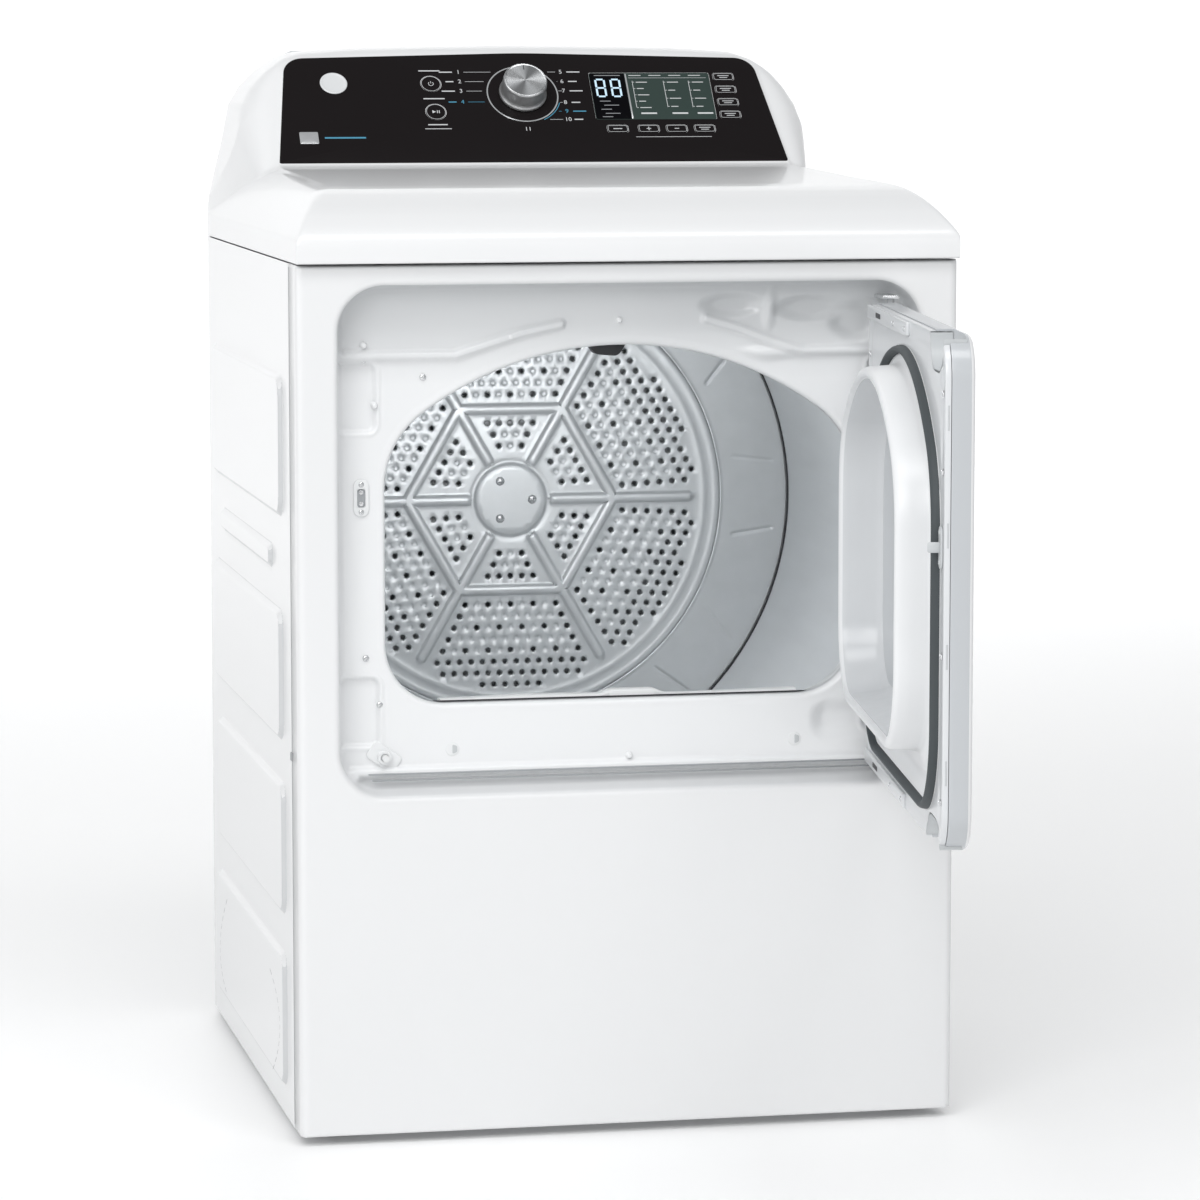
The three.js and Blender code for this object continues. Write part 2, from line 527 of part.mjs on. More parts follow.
function consoleHousing() {
  const body = join(topBody(0, WORKTOP.back, CONSOLE.rear), consoleCrown(0));
  const hollow = join(topBody(CONSOLE.wall, WORKTOP.back - 10, CONSOLE.rear + 5), consoleCrown(CONSOLE.wall));
  const seat = slabZ(fasciaOutline(GAP + 0.1), -FASCIA.thick - GAP, 40, 5);
  const through = slabZ(fasciaOutline(-10), -40, 10, 5);
  return cut(body, hollow, ontoSlope(seat), ontoSlope(through));
}

function terminalCover() {
  const { x0, x1, z0, z1, depth } = TERMINAL;
  const y = CABINET.depth + GAP;
  return cut(slabY(roundedRect(x0, x1, z0, z1, 6), y, y + depth, 2),
    slabY(roundedRect(x0 + 2, x1 - 2, z0 + 2, z1 - 2, 4), y - 1, y + depth - 2, 2));
}

function consoleRearCover() {
  const y = CONSOLE.rear - 3;
  const outline = consoleCrown(CONSOLE.wall + GAP).add(topBody(CONSOLE.wall + GAP, WORKTOP.back + 4, CONSOLE.rear + 5));
  return outline.intersect(box(-400, 400, y, CONSOLE.rear - 1, CABINET.top + 1, 1200));
}

// Keys of the fascia, as [name, x, s].
const KEYS = [
  ...[98.7, 134.3, 166.5, 198.8].map((x, i) => [`option_key_${i + 1}`, x, 48.3]),
  ...[124.8, 105.8, 87.2, 68.6].map((s, i) => [`side_key_${i + 1}`, SIDE_KEY_X, s]),
];
const ROUND_BUTTONS = [['power_button', -106, 115.2], ['start_button', -105, 74]];

const keyShape = (x, s, grow) => roundedRect(x - KEY.width / 2 - grow, x + KEY.width / 2 + grow,
  s - KEY.height / 2 - grow, s + KEY.height / 2 + grow, 2.5 + grow);

function fasciaPlate() {
  let plate = slabZ(fasciaOutline(), -FASCIA.thick, 0, 5);
  for (const [, x, s] of KEYS) plate = plate.subtract(slabZ(keyShape(x, s, 0.4), -9, 9, 2));
  for (const [, x, s] of ROUND_BUTTONS) plate = plate.subtract(discZ(ROUND_BUTTON + 0.4, -9, 9, x, s, 20));
  const window = slabZ(roundedRect(WINDOW.x0 - GAP, WINDOW.x1 + GAP, WINDOW.s0 - GAP, WINDOW.s1 + GAP, 2), -9, 9, 2);
  return cut(plate, window, discZ(3.6, -9, 9, KNOB.x, KNOB.s, 16));
}

const displayWindow = () => slabZ(roundedRect(WINDOW.x0, WINDOW.x1, WINDOW.s0, WINDOW.s1, 2), -FASCIA.thick, 0.2, 2);

function controlBoard() {
  const plate = box(-130, 246, 30, 142, -22, -20);
  const posts = [[-120, 38], [60, 38], [60, 136], [-120, 136]]
    .map(([x, s]) => discZ(4, -21, -FASCIA.thick - 2 * GAP, x, s, 10));
  const encoder = cut(box(KNOB.x - 8, KNOB.x + 8, KNOB.s - 8, KNOB.s + 8, -21, -9), discZ(3.4, -15, 0, KNOB.x, KNOB.s, 16));
  return join(plate, ...posts, encoder);
}

const selectorKnob = () => turnedZ([[0, -14], [3, -14], [3, 1], [KNOB.radius - 1, 1], [KNOB.radius, 2.5],
  [KNOB.face + 1, KNOB.height - 2], [KNOB.face - 1, KNOB.height], [0, KNOB.height]], KNOB.x, KNOB.s, 32);

// ---------------------------------------------------------------- door, in its own frame about the hinge axis
const doorFrame = new THREE.Group();
doorFrame.position.set(DOOR.hingeX, DOOR.hingeY, 0);
doorFrame.rotation.z = THREE.MathUtils.degToRad(DOOR.open);
group.add(doorFrame);

const doorOutline = (inset) => roundedRect(-DOOR.reach + inset, DOOR.edge - inset, DOOR.bottom + inset,
  DOOR.top - inset, Math.max(4, DOOR.radius - inset));
const POCKET = { x0: -552, x1: -516, z0: 530, z1: 700, depth: 13 };

// An arched outline about the closed door's own middle, which is the drum's.
const shiftedToDoor = (manifold) => manifold.translate([-DOOR.hingeX, 0, 0]);

function doorOuterPanel() {
  const { face, seam } = DOOR;
  const pan = cut(slabY(doorOutline(0), face, seam), slabY(doorOutline(SHEET), face + SHEET, seam + 1));
  const pocket = (inset, y0, y1) => slabY(
    roundedRect(POCKET.x0 + inset, POCKET.x1 - inset, POCKET.z0 + inset, POCKET.z1 - inset, 10), y0, y1, 4);
  const pins = [DOOR.bottom, DOOR.top].map((z) => discZ(4 + GAP, z - 16, z + 16, 0, 0, 16));
  return cut(join(pan, pocket(-SHEET, face, face + POCKET.depth + SHEET)),
    pocket(0, face - 1, face + POCKET.depth), ...pins);
}

function doorLiner() {
  const { seam, liner } = DOOR;
  const rim = liner + BOWL.rise;
  const floor = rim - BOWL.depth;
  const plate = slabY(doorOutline(1.5), seam + GAP, liner);
  const bowl = shiftedToDoor(slabY(archOutline(BOWL), liner - 1, rim));
  const well = shiftedToDoor(slabY(archOutline(BOWL, -BOWL.wall), floor, rim + 1));
  const wellBody = shiftedToDoor(slabY(archOutline(BOWL, -BOWL.wall + 3), floor - 3, liner));
  const scoops = [DOOR.bottom, DOOR.top].map((z) => discY(SCOOP.radius, seam, liner + 1, -SCOOP.reach, z, 24));
  return cut(join(plate, bowl, wellBody), well, ...scoops);
}

function doorGasket() {
  const y0 = DOOR.liner + GAP;
  return shiftedToDoor(cut(slabY(archOutline(GASKET), y0, y0 + GASKET.height),
    slabY(archOutline(GASKET, -GASKET.width), y0 - 1, y0 + GASKET.height + 1)));
}

function doorStrike() {
  const x = STRIKE.x - DOOR.hingeX;
  const y0 = DOOR.liner + GAP;
  const plate = slabY(roundedRect(x - 9, x + 9, STRIKE.z - 20, STRIKE.z + 20, 8), y0, y0 + 2, 4);
  return join(plate, slabY(roundedRect(x - 2.2, x + 2.2, STRIKE.z - 6, STRIKE.z + 6, 1.8), y0, y0 + 22, 3));
}

const hingePin = (z0, z1) => discZ(4, z0, z1, 0, 0, 16);

// A hinge bracket on the recess floor, with an arm that holds the pin above or below the door.
function hingeBracket(z0, z1) {
  const { hingeX, hingeY } = DOOR;
  const back = RECESS.depth - GAP;
  const span = [hingeX - 11, hingeX + 8];
  const arm = box(...span, hingeY - 9, back, z0, z1);
  const above = z0 > DRUM.z;
  const foot = box(...span, back - 3, back, above ? z0 - 12 : z0, above ? z1 : z1 + 12);
  return cut(join(arm, foot), discZ(4 + GAP, z0 - 1, z1 + 1, hingeX, hingeY, 16));
}

// ---------------------------------------------------------------- catch and switch
function doorCatch() {
  const y = RECESS.depth;
  const oval = (half, tall) => roundedRect(STRIKE.x - half, STRIKE.x + half, STRIKE.z - tall, STRIKE.z + tall, half - 0.5);
  const plate = slabY(oval(8, 19), y - 2, y - GAP, 4);
  const neck = slabY(roundedRect(STRIKE.x - 5.4, STRIKE.x + 5.4, STRIKE.z - 11.6, STRIKE.z + 11.6, 3), y - 1, y + 4, 3);
  const body = box(STRIKE.x - 10, STRIKE.x + 10, y + SHEET + GAP, y + 24, STRIKE.z - 18, STRIKE.z + 18);
  const slot = box(STRIKE.x - 4.2, STRIKE.x + 4.2, y - 3, y + 20, STRIKE.z - 9.5, STRIKE.z + 9.5);
  return cut(join(plate, neck, body), slot);
}

function doorSwitchBody() {
  const y = RECESS.depth;
  const plate = slabY(roundedRect(-17, 17, -10, 10, 3), y - 3, y - GAP, 3);
  const boss = discY(7, y - 8, y - 1, 0, 0, 20);
  const bore = discY(4, y - 9, y + 1, 0, 0, 16);
  const place = new THREE.Matrix4().makeTranslation(SWITCH.x, 0, SWITCH.z)
    .multiply(new THREE.Matrix4().makeRotationY(-THREE.MathUtils.degToRad(SWITCH.tilt)));
  return cut(join(plate, boss), bore).transform(place.elements.slice());
}

const switchPlunger = () => discY(3.6, DOOR.hingeY + DOOR.liner + 0.7, RECESS.depth - 6.5, SWITCH.x, SWITCH.z, 16);

// ---------------------------------------------------------------- assembly
add('base_frame', baseFrame(), GALVANISED);
add('left_side_panel', sidePanel(-1), WHITE);
add('right_side_panel', sidePanel(1), WHITE);
add('front_panel', frontPanel(), WHITE);
add('rear_panel', rearPanel(), GALVANISED);
footPlaces().forEach(([x, y], i) => {
  const names = ['front_left_foot', 'front_right_foot', 'rear_left_foot', 'rear_right_foot'];
  add(names[i], foot(x, y), DARK_PLASTIC);
});

add('front_bulkhead', frontBulkhead(), WHITE);
add('front_felt_seal', frontFeltSeal(), FELT);
add('drum_bearing', drumBearing(), WHITE_PLASTIC);
add('drum_shell', drumShell(), ALUMINISED);
add('drum_rear_head', drumRearHead(), ALUMINISED);
add('drum_shaft', drumShaft(), STEEL);
[60, 180, 300].forEach((degrees, i) => {
  add(`drum_lifter_${i + 1}`, lifter(THREE.MathUtils.degToRad(degrees)), WHITE_PLASTIC);
});

add('lint_duct', lintDuct(), GREY_PLASTIC);
add('lint_filter', lintFilter(), WHITE_PLASTIC);
add('blower_housing', blowerHousing(), WHITE_PLASTIC);
add('blower_wheel', blowerWheel(), DARK_PLASTIC);
add('exhaust_duct', exhaustDuct(), GALVANISED);
add('heater_cover', heaterCover(), GALVANISED);
add('heater_coil', heaterCoil(), COPPER_COIL);

add('motor_body', motorBody(), STEEL);
add('motor_bracket', motorBracket(), GALVANISED);
add('motor_rotor', motorRotor(), STEEL);
add('drum_belt', drumBelt(), RUBBER);
add('idler_arm', idlerArm(), GALVANISED);
add('idler_pulley', idlerPulley(), WHITE_PLASTIC);

add('worktop', worktop(), WHITE);
add('console_housing', consoleHousing(), WHITE);
add('console_rear_cover', consoleRearCover(), GALVANISED);
add('terminal_cover', terminalCover(), GALVANISED);
add('fascia', fasciaPlate(), GLOSS_BLACK, fasciaFrame);
add('display_window', displayWindow(), GLASS, fasciaFrame);
add('control_board', controlBoard(), GREEN_BOARD, fasciaFrame);
add('selector_knob', selectorKnob(), SILVER, fasciaFrame);
for (const [name, x, s] of ROUND_BUTTONS) {
  add(name, discZ(ROUND_BUTTON, -FASCIA.thick - 1, 0.5, x, s, 20), GLOSS_BLACK, fasciaFrame);
}
for (const [name, x, s] of KEYS) {
  add(name, slabZ(keyShape(x, s, 0), -FASCIA.thick - 1, 0.5, 2), GLOSS_BLACK, fasciaFrame);
}

add('door_outer_panel', doorOuterPanel(), WHITE, doorFrame);
add('door_liner', doorLiner(), WHITE_PLASTIC, doorFrame);
add('door_gasket', doorGasket(), RUBBER, doorFrame);
add('door_strike', doorStrike(), WHITE_PLASTIC, doorFrame);
add('upper_hinge_pin', hingePin(DOOR.top - 20, DOOR.top + 7), STEEL, doorFrame);
add('lower_hinge_pin', hingePin(DOOR.bottom - 7, DOOR.bottom + 20), STEEL, doorFrame);
add('upper_hinge_bracket', hingeBracket(DOOR.top + 3, DOOR.top + 7), STEEL);
add('lower_hinge_bracket', hingeBracket(DOOR.bottom - 7, DOOR.bottom - 3), STEEL);
add('door_catch', doorCatch(), GREY_PLASTIC);
add('door_switch_body', doorSwitchBody(), GREY_PLASTIC);
add('door_switch_plunger', switchPlunger(), WHITE_PLASTIC);

export default group;
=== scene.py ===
"""A front-loading clothes dryer with its door open: the visual model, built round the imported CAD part.

Shapes are worked out in millimetres in the cabinet's own frame: X to the right, Y = 0 at the front
panel and growing towards the back, Z = 0 at the floor. The door is worked out closed, about its hinge
axis, and the fascia on its slope.
"""
import math

import bmesh
import bpy
import numpy as np
from mathutils import Matrix, Vector
from mathutils.geometry import delaunay_2d_cdt


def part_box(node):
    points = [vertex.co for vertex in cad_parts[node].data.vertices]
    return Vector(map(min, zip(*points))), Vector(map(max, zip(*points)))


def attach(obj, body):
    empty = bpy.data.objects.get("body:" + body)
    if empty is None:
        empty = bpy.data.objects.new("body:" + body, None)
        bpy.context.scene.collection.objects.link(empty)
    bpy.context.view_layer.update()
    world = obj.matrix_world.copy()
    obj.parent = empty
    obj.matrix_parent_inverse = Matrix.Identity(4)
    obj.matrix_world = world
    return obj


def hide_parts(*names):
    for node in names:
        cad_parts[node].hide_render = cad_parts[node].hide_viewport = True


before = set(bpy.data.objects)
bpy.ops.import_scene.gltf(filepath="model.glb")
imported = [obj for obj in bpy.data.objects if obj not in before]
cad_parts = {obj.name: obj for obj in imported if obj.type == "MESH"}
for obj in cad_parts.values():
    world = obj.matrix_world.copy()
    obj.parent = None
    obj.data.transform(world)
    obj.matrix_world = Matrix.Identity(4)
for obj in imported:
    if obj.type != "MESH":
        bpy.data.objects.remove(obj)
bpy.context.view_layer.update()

# ---------------------------------------------------------------- driving dimensions, in millimetres
FRONT_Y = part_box("front_panel")[0].y * 1000
HALF = 343
DEPTH = 700
SKIRT = 9
TOP = 899
SEAM_Y = 50
RECESS = {"left": -301, "right": 305, "bottom": 357, "top": 878, "radius": 48, "depth": 40}
OPENING = {"half": 247, "arc": 354, "arc_z": 458, "bottom": 447, "corner": 62}
LIP_END = 54
THROAT_BACK = 80
DRUM_Z = 594
DRUM_R = 332
DRUM_FRONT = 86
HEAD_Y = 664
HINGE = (272.5, 4)
DOOR_OPEN = math.radians(82)
DOOR = {"x0": -560.5, "x1": 20, "z0": 375, "z1": 855, "radius": 40, "liner": 20}
BOWL = {"half": 229, "arc": 336, "arc_z": 470, "bottom": 456, "corner": 84}
GASKET = {"half": 262, "arc": 367, "arc_z": 461, "bottom": 402, "corner": 90}
FASCIA_ORIGIN = (0, 500, 985.5)
FASCIA_SLOPE = math.atan2(112.5, 100)
FASCIA = {"half": 288, "top_half": 268, "height": 158, "crown": 3, "radius": 24}
KNOB = (-3.5, 99.5)
LINT_X = (-190, 190)
# The raised fields of a side panel, as front, back, low and high edges.
SIDE_FIELDS = [
    (100, 645, 635, 782), (180, 578, 575, 601), (106, 645, 402, 539), (96, 626, 221, 360),
    (97, 640, 40, 182)]
FIELD_RISE = 4.6
# How many points a ring of the front panel or the door has.
RING = 1080
PANEL_CENTRE = (2, DRUM_Z + 22)


# ---------------------------------------------------------------- frames
def cabinet_row(points):
    """Cabinet millimetres to the row frame's metres."""
    points = np.asarray(points, float)
    return (points + (0, FRONT_Y, 0)) / 1000


def door_row(points):
    """The closed door's millimetres, about its hinge axis, to the row frame with the door open."""
    points = np.asarray(points, float)
    c, s = math.cos(DOOR_OPEN), math.sin(DOOR_OPEN)
    turned = np.stack([points[:, 0] * c - points[:, 1] * s + HINGE[0],
                       points[:, 0] * s + points[:, 1] * c + HINGE[1], points[:, 2]], axis=1)
    return cabinet_row(turned)


def fascia_row(points):
    """Fascia millimetres (x, up the slope, outward) to the row frame."""
    points = np.asarray(points, float)
    c, s = math.cos(FASCIA_SLOPE), math.sin(FASCIA_SLOPE)
    x, up, out = points[:, 0], points[:, 1], points[:, 2]
    moved = np.stack([x, FASCIA_ORIGIN[1] + up * c - out * s, FASCIA_ORIGIN[2] + up * s + out * c], axis=1)
    return cabinet_row(moved)


# ---------------------------------------------------------------- outlines, as closed rings of 2-D points
def rounded(corners, step=1.5):
    """A closed outline through corners (x, z, radius), in order, with round stretches as arcs."""
    points = []
    count = len(corners)
    for i, (x, z, radius) in enumerate(corners):
        here = np.array((x, z), float)
        back = np.array(corners[i - 1][:2], float) - here
        ahead = np.array(corners[(i + 1) % count][:2], float) - here
        back /= np.linalg.norm(back)
        ahead /= np.linalg.norm(ahead)
        if radius < 0.01:
            points.append(here)
            continue
        half = math.acos(max(-1, min(1, back @ ahead))) / 2
        middle = (back + ahead) / np.linalg.norm(back + ahead)
        centre = here + middle * radius / math.sin(half)
        start = here + back * radius / math.tan(half) - centre
        end = here + ahead * radius / math.tan(half) - centre
        a0 = math.atan2(start[1], start[0])
        sweep = (math.atan2(end[1], end[0]) - a0 + math.pi) % (2 * math.pi) - math.pi
        turns = max(4, int(abs(sweep) * radius / step))
        for t in np.linspace(0, 1, turns + 1):
            angle = a0 + sweep * t
            points.append(centre + radius * np.array((math.cos(angle), math.sin(angle))))
    return np.array(points)


def rectangle(x0, x1, z0, z1, radius):
    """A round-cornered rectangle."""
    return rounded([(x0, z0, radius), (x1, z0, radius), (x1, z1, radius), (x0, z1, radius)])


def arch(shape, grow=0, shoulder=46):
    """An opening with upright sides, a round-cornered flat bottom and a wide arc across the top."""
    side, low = shape["half"] + grow, shape["bottom"] - grow
    radius = shape["arc"] + grow
    edge = math.acos(side / radius)
    soften = shoulder / radius
    corner = shape["corner"] + grow
    above = low + 2 * corner
    bottom = rounded([(side, above, 0), (-side, above, 0), (-side, low, corner), (side, low, corner)])[2:]
    angles = np.linspace(edge + soften, math.pi - edge - soften, 160)
    top = np.stack([radius * np.cos(angles), shape["arc_z"] + radius * np.sin(angles)], axis=1)
    return np.concatenate([bottom, bend(side, shape["arc_z"], radius, edge, soften, 1), top,
                           bend(side, shape["arc_z"], radius, edge, soften, -1)])


def bend(side, arc_z, radius, edge, soften, sign):
    """The soft turn between an upright side and the top arc."""
    corner = np.array((side, arc_z + radius * math.sin(edge)))
    low = corner - (0, radius * soften)
    high = np.array((radius * math.cos(edge + soften), arc_z + radius * math.sin(edge + soften)))
    t = np.linspace(0, 1, 24)[:, None]
    curve = (1 - t) ** 2 * low + 2 * t * (1 - t) * corner + t ** 2 * high
    return curve if sign > 0 else (curve * (-1, 1))[::-1]


def circle(x, z, radius, count=128):
    """A circle as a ring of evenly spaced points."""
    angle = np.linspace(0, 2 * math.pi, count, endpoint=False)
    return np.stack([x + radius * np.cos(angle), z + radius * np.sin(angle)], axis=1)


def inset(ring, distance):
    """The ring moved inwards by distance along its normals (outwards when negative)."""
    ahead = np.roll(ring, -1, axis=0) - np.roll(ring, 1, axis=0)
    ahead /= np.linalg.norm(ahead, axis=1)[:, None] + 1e-9
    normal = np.stack([-ahead[:, 1], ahead[:, 0]], axis=1)
    return ring + normal * distance


def around(ring, centre, count):
    """The ring resampled at equal angles about centre, so rings of different shapes can be joined."""
    step = np.linspace(0, 1, 12, endpoint=False)[:, None, None]
    fine = ring[None] * (1 - step) + np.roll(ring, -1, axis=0)[None] * step
    fine = fine.transpose(1, 0, 2).reshape(-1, 2)
    angle = np.unwrap(np.arctan2(fine[:, 1] - centre[1], fine[:, 0] - centre[0]))
    angle, fine = np.append(angle, angle[0] + 2 * math.pi), np.vstack([fine, fine[:1]])
    order = np.argsort(angle)
    angle, fine = angle[order], fine[order]
    wanted = np.linspace(0, 2 * math.pi, count, endpoint=False)
    wanted = angle[0] + (wanted - angle[0]) % (2 * math.pi)
    return np.stack([np.interp(wanted, angle, fine[:, 0]), np.interp(wanted, angle, fine[:, 1])], axis=1)


def even(ring, step):
    """The ring resampled at about equal steps along its length."""
    closed = np.vstack([ring, ring[:1]])
    length = np.concatenate([[0], np.cumsum(np.linalg.norm(np.diff(closed, axis=0), axis=1))])
    count = max(12, int(length[-1] / step))
    at = np.linspace(0, length[-1], count, endpoint=False)
    return np.stack([np.interp(at, length, closed[:, 0]), np.interp(at, length, closed[:, 1])], axis=1)


def smooth_step(value, low, high):
    """0 below low, 1 above high and a soft rise between."""
    t = np.clip((value - low) / (high - low), 0, 1)
    return t * t * (3 - 2 * t)


def box_distance(x, z, x0, x1, z0, z1, radius):
    """Signed distance to a round-cornered rectangle, negative inside."""
    dx = np.abs(x - (x0 + x1) / 2) - (x1 - x0) / 2 + radius
    dz = np.abs(z - (z0 + z1) / 2) - (z1 - z0) / 2 + radius
    outside = np.hypot(np.maximum(dx, 0), np.maximum(dz, 0))
    return outside + np.minimum(np.maximum(dx, dz), 0) - radius


def line_distance(x, z, points):
    """Distance to a path of straight runs."""
    best = np.full(np.shape(x), 1e9)
    for (ax, az), (bx, bz) in zip(points, points[1:]):
        ux, uz = bx - ax, bz - az
        t = np.clip(((x - ax) * ux + (z - az) * uz) / (ux * ux + uz * uz), 0, 1)
        best = np.minimum(best, np.hypot(x - ax - t * ux, z - az - t * uz))
    return best


# ---------------------------------------------------------------- pieces
def piece(name, points, faces, material, body, to_row=cabinet_row, slot=None, replaces=(), sharp=40):
    """A mesh object that rides on a CAD body."""
    mesh = bpy.data.meshes.new(name)
    mesh.from_pydata(to_row(points).tolist(), [], [tuple(face) for face in faces])
    mesh.validate()
    obj = bpy.data.objects.new(name, mesh)
    bpy.context.scene.collection.objects.link(obj)
    return finish_piece(obj, material, body, sharp, replaces)


def finish_piece(obj, material, body, sharp=40, replaces=()):
    """Gives an object its material, normals, body and the CAD nodes it stands for."""
    obj.data.materials.clear()
    obj.data.materials.append(material)
    tidy_normals(obj.data, sharp)
    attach(obj, body)
    if replaces:
        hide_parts(*replaces)
    return obj


def tidy_normals(mesh, sharp):
    """Points the faces outwards and keeps edges steeper than sharp degrees crisp."""
    work = bmesh.new()
    work.from_mesh(mesh)
    bmesh.ops.recalc_face_normals(work, faces=work.faces)
    work.to_mesh(mesh)
    work.free()
    mesh.shade_smooth()
    mesh.set_sharp_from_angle(angle=math.radians(sharp))


def grid(rows, columns, wrap=False):
    """Faces of a grid of points; wrap joins the last column to the first."""
    faces = []
    last = columns if wrap else columns - 1
    for r in range(rows - 1):
        for c in range(last):
            n = (c + 1) % columns
            faces.append((r * columns + c, r * columns + n, (r + 1) * columns + n, (r + 1) * columns + c))
    return faces


def lofted(rings, cap_first=False, cap_last=False):
    """Points and faces through rings of equal counts."""
    rings = [np.asarray(ring, float) for ring in rings]
    count = len(rings[0])
    points = np.concatenate(rings)
    faces = grid(len(rings), count, wrap=True)
    for wanted, start in ((cap_first, 0), (cap_last, (len(rings) - 1) * count)):
        if wanted:
            middle = len(points)
            points = np.vstack([points, points[start:start + count].mean(axis=0)])
            faces += [(start + i, start + (i + 1) % count, middle) for i in range(count)]
    return points, faces


def at_y(ring, y):
    """A ring of (x, z) points as 3-D points at depth y."""
    return np.stack([ring[:, 0], np.broadcast_to(y, len(ring)), ring[:, 1]], axis=1)


def at_n(ring, n):
    """A ring of (x, s) points of the fascia at height n."""
    return np.stack([ring[:, 0], ring[:, 1], np.broadcast_to(n, len(ring))], axis=1)


def at_z(ring, z):
    """A ring of (x, y) points at height z."""
    return np.stack([ring[:, 0], ring[:, 1], np.broadcast_to(z, len(ring))], axis=1)


def prism(ring, low, high, round_edge=1.0, lift=at_y, step=2.5):
    """A closed slab between two levels, with rounded edges."""
    ring = even(ring, step)
    levels = []
    for t in np.linspace(0, math.pi / 2, 4):
        levels.append((round_edge * (1 - math.sin(t)), low + round_edge * (1 - math.cos(t))))
    levels += [(d, low + high - level) for d, level in levels[::-1]]
    return lofted([lift(inset(ring, d), level) for d, level in levels], True, True)


def turned(profile, centre, axis="y", count=96):
    """A lathed solid; profile is (radius, along) pairs, and points of radius 0 close it."""
    angle = np.linspace(0, 2 * math.pi, count, endpoint=False)
    rings = []
    for radius, along in profile:
        a = centre[0] + radius * np.cos(angle)
        b = centre[1] + radius * np.sin(angle)
        level = np.full(count, along, float)
        rings.append(np.stack([a, level, b] if axis == "y" else [a, b, level], axis=1))
    return lofted(rings)


def soft_profile(profile, radius=1.0, steps=3):
    """The profile with its corners rounded."""
    points = [np.array(p, float) for p in profile]
    result = [points[0]]
    for before, here, after in zip(points, points[1:], points[2:]):
        back, ahead = before - here, after - here
        reach = min(radius, np.linalg.norm(back) * 0.45, np.linalg.norm(ahead) * 0.45)
        start = here + back / np.linalg.norm(back) * reach
        end = here + ahead / np.linalg.norm(ahead) * reach
        for t in np.linspace(0, 1, steps + 1):
            result.append((1 - t) ** 2 * start + 2 * t * (1 - t) * here + t * t * end)
    return result + [points[-1]]


def joined(*solids):
    """Several (points, faces) solids as one."""
    points, faces = [], []
    for solid_points, solid_faces in solids:
        shift = sum(len(p) for p in points)
        points.append(solid_points)
        faces += [tuple(i + shift for i in face) for face in solid_faces]
    return np.concatenate(points), faces


def box(x0, x1, y0, y1, z0, z1, round_edge=0.8):
    """A block with rounded edges, in any of the frames."""
    radius = max(0.3, min(round_edge, (x1 - x0) / 2.2, (z1 - z0) / 2.2))
    return prism(rectangle(x0, x1, z0, z1, radius), y0, y1, min(round_edge, (y1 - y0) / 2.2))


def thicken(obj, thickness, offset=-1.0):
    """Gives a sheet its thickness."""
    solidify = obj.modifiers.new("thickness", "SOLIDIFY")
    solidify.thickness = thickness / 1000
    solidify.offset = offset
    settle(obj)


def settle(obj):
    """Applies the object's modifiers to its mesh."""
    ready = obj.evaluated_get(bpy.context.evaluated_depsgraph_get())
    mesh = bpy.data.meshes.new_from_object(ready)
    obj.modifiers.clear()
    obj.data = mesh


def carve(obj, cutters, to_row=cabinet_row):
    """Cuts closed solids out of an object."""
    for points, faces in cutters:
        mesh = bpy.data.meshes.new("cutter")
        mesh.from_pydata(to_row(points).tolist(), [], [tuple(face) for face in faces])
        tidy_normals(mesh, 40)
        tool = bpy.data.objects.new("cutter", mesh)
        bpy.context.scene.collection.objects.link(tool)
        cut = obj.modifiers.new("cut", "BOOLEAN")
        cut.operation = "DIFFERENCE"
        cut.object = tool
        cut.solver = "EXACT"
        settle(obj)
        bpy.data.objects.remove(tool)
    obj.data.shade_smooth()
    obj.data.set_sharp_from_angle(angle=math.radians(35))


# ---------------------------------------------------------------- materials
def shader(name, color, roughness, metallic=0.0, coat=0.0, specular=0.5):
    """A plain material, with its values set directly on the shader."""
    material = bpy.data.materials.new(name)
    material.use_nodes = True
    node = material.node_tree.nodes["Principled BSDF"]
    node.inputs["Base Color"].default_value = (*color, 1)
    node.inputs["Roughness"].default_value = roughness
    node.inputs["Metallic"].default_value = metallic
    node.inputs["Coat Weight"].default_value = coat
    node.inputs["Coat Roughness"].default_value = 0.06
    node.inputs["Specular IOR Level"].default_value = specular
    material.diffuse_color = (*color, 1)
    return material


def add_node(material, kind, **values):
    """A new shader node; values name its inputs or its own settings."""
    node = material.node_tree.nodes.new(kind)
    for key, value in values.items():
        if key in node.inputs:
            node.inputs[key].default_value = value
        else:
            setattr(node, key, value)
    return node


def link(material, source, output, target, socket):
    """Joins an output of one node to an input of another."""
    material.node_tree.links.new(source.outputs[output], target.inputs[socket])


def object_coordinates(material, scale=(1, 1, 1)):
    """The object's own coordinates, stretched by scale."""
    where = add_node(material, "ShaderNodeTexCoord")
    mapping = add_node(material, "ShaderNodeMapping")
    mapping.inputs["Scale"].default_value = scale
    link(material, where, "Object", mapping, "Vector")
    return mapping


def noise(material, scale, detail=3, stretch=(1, 1, 1)):
    """A noise texture in the object's own coordinates."""
    texture = add_node(material, "ShaderNodeTexNoise", Scale=scale, Detail=detail)
    link(material, object_coordinates(material, stretch), "Vector", texture, "Vector")
    return texture


def tint(material, texture, output, dark, light, low=0.3, high=0.7):
    """Drives the base colour between two shades by a texture."""
    ramp = add_node(material, "ShaderNodeValToRGB")
    ramp.color_ramp.elements[0].position = low
    ramp.color_ramp.elements[0].color = (*dark, 1)
    ramp.color_ramp.elements[1].position = high
    ramp.color_ramp.elements[1].color = (*light, 1)
    link(material, texture, output, ramp, "Fac")
    link(material, ramp, "Color", material.node_tree.nodes["Principled BSDF"], "Base Color")


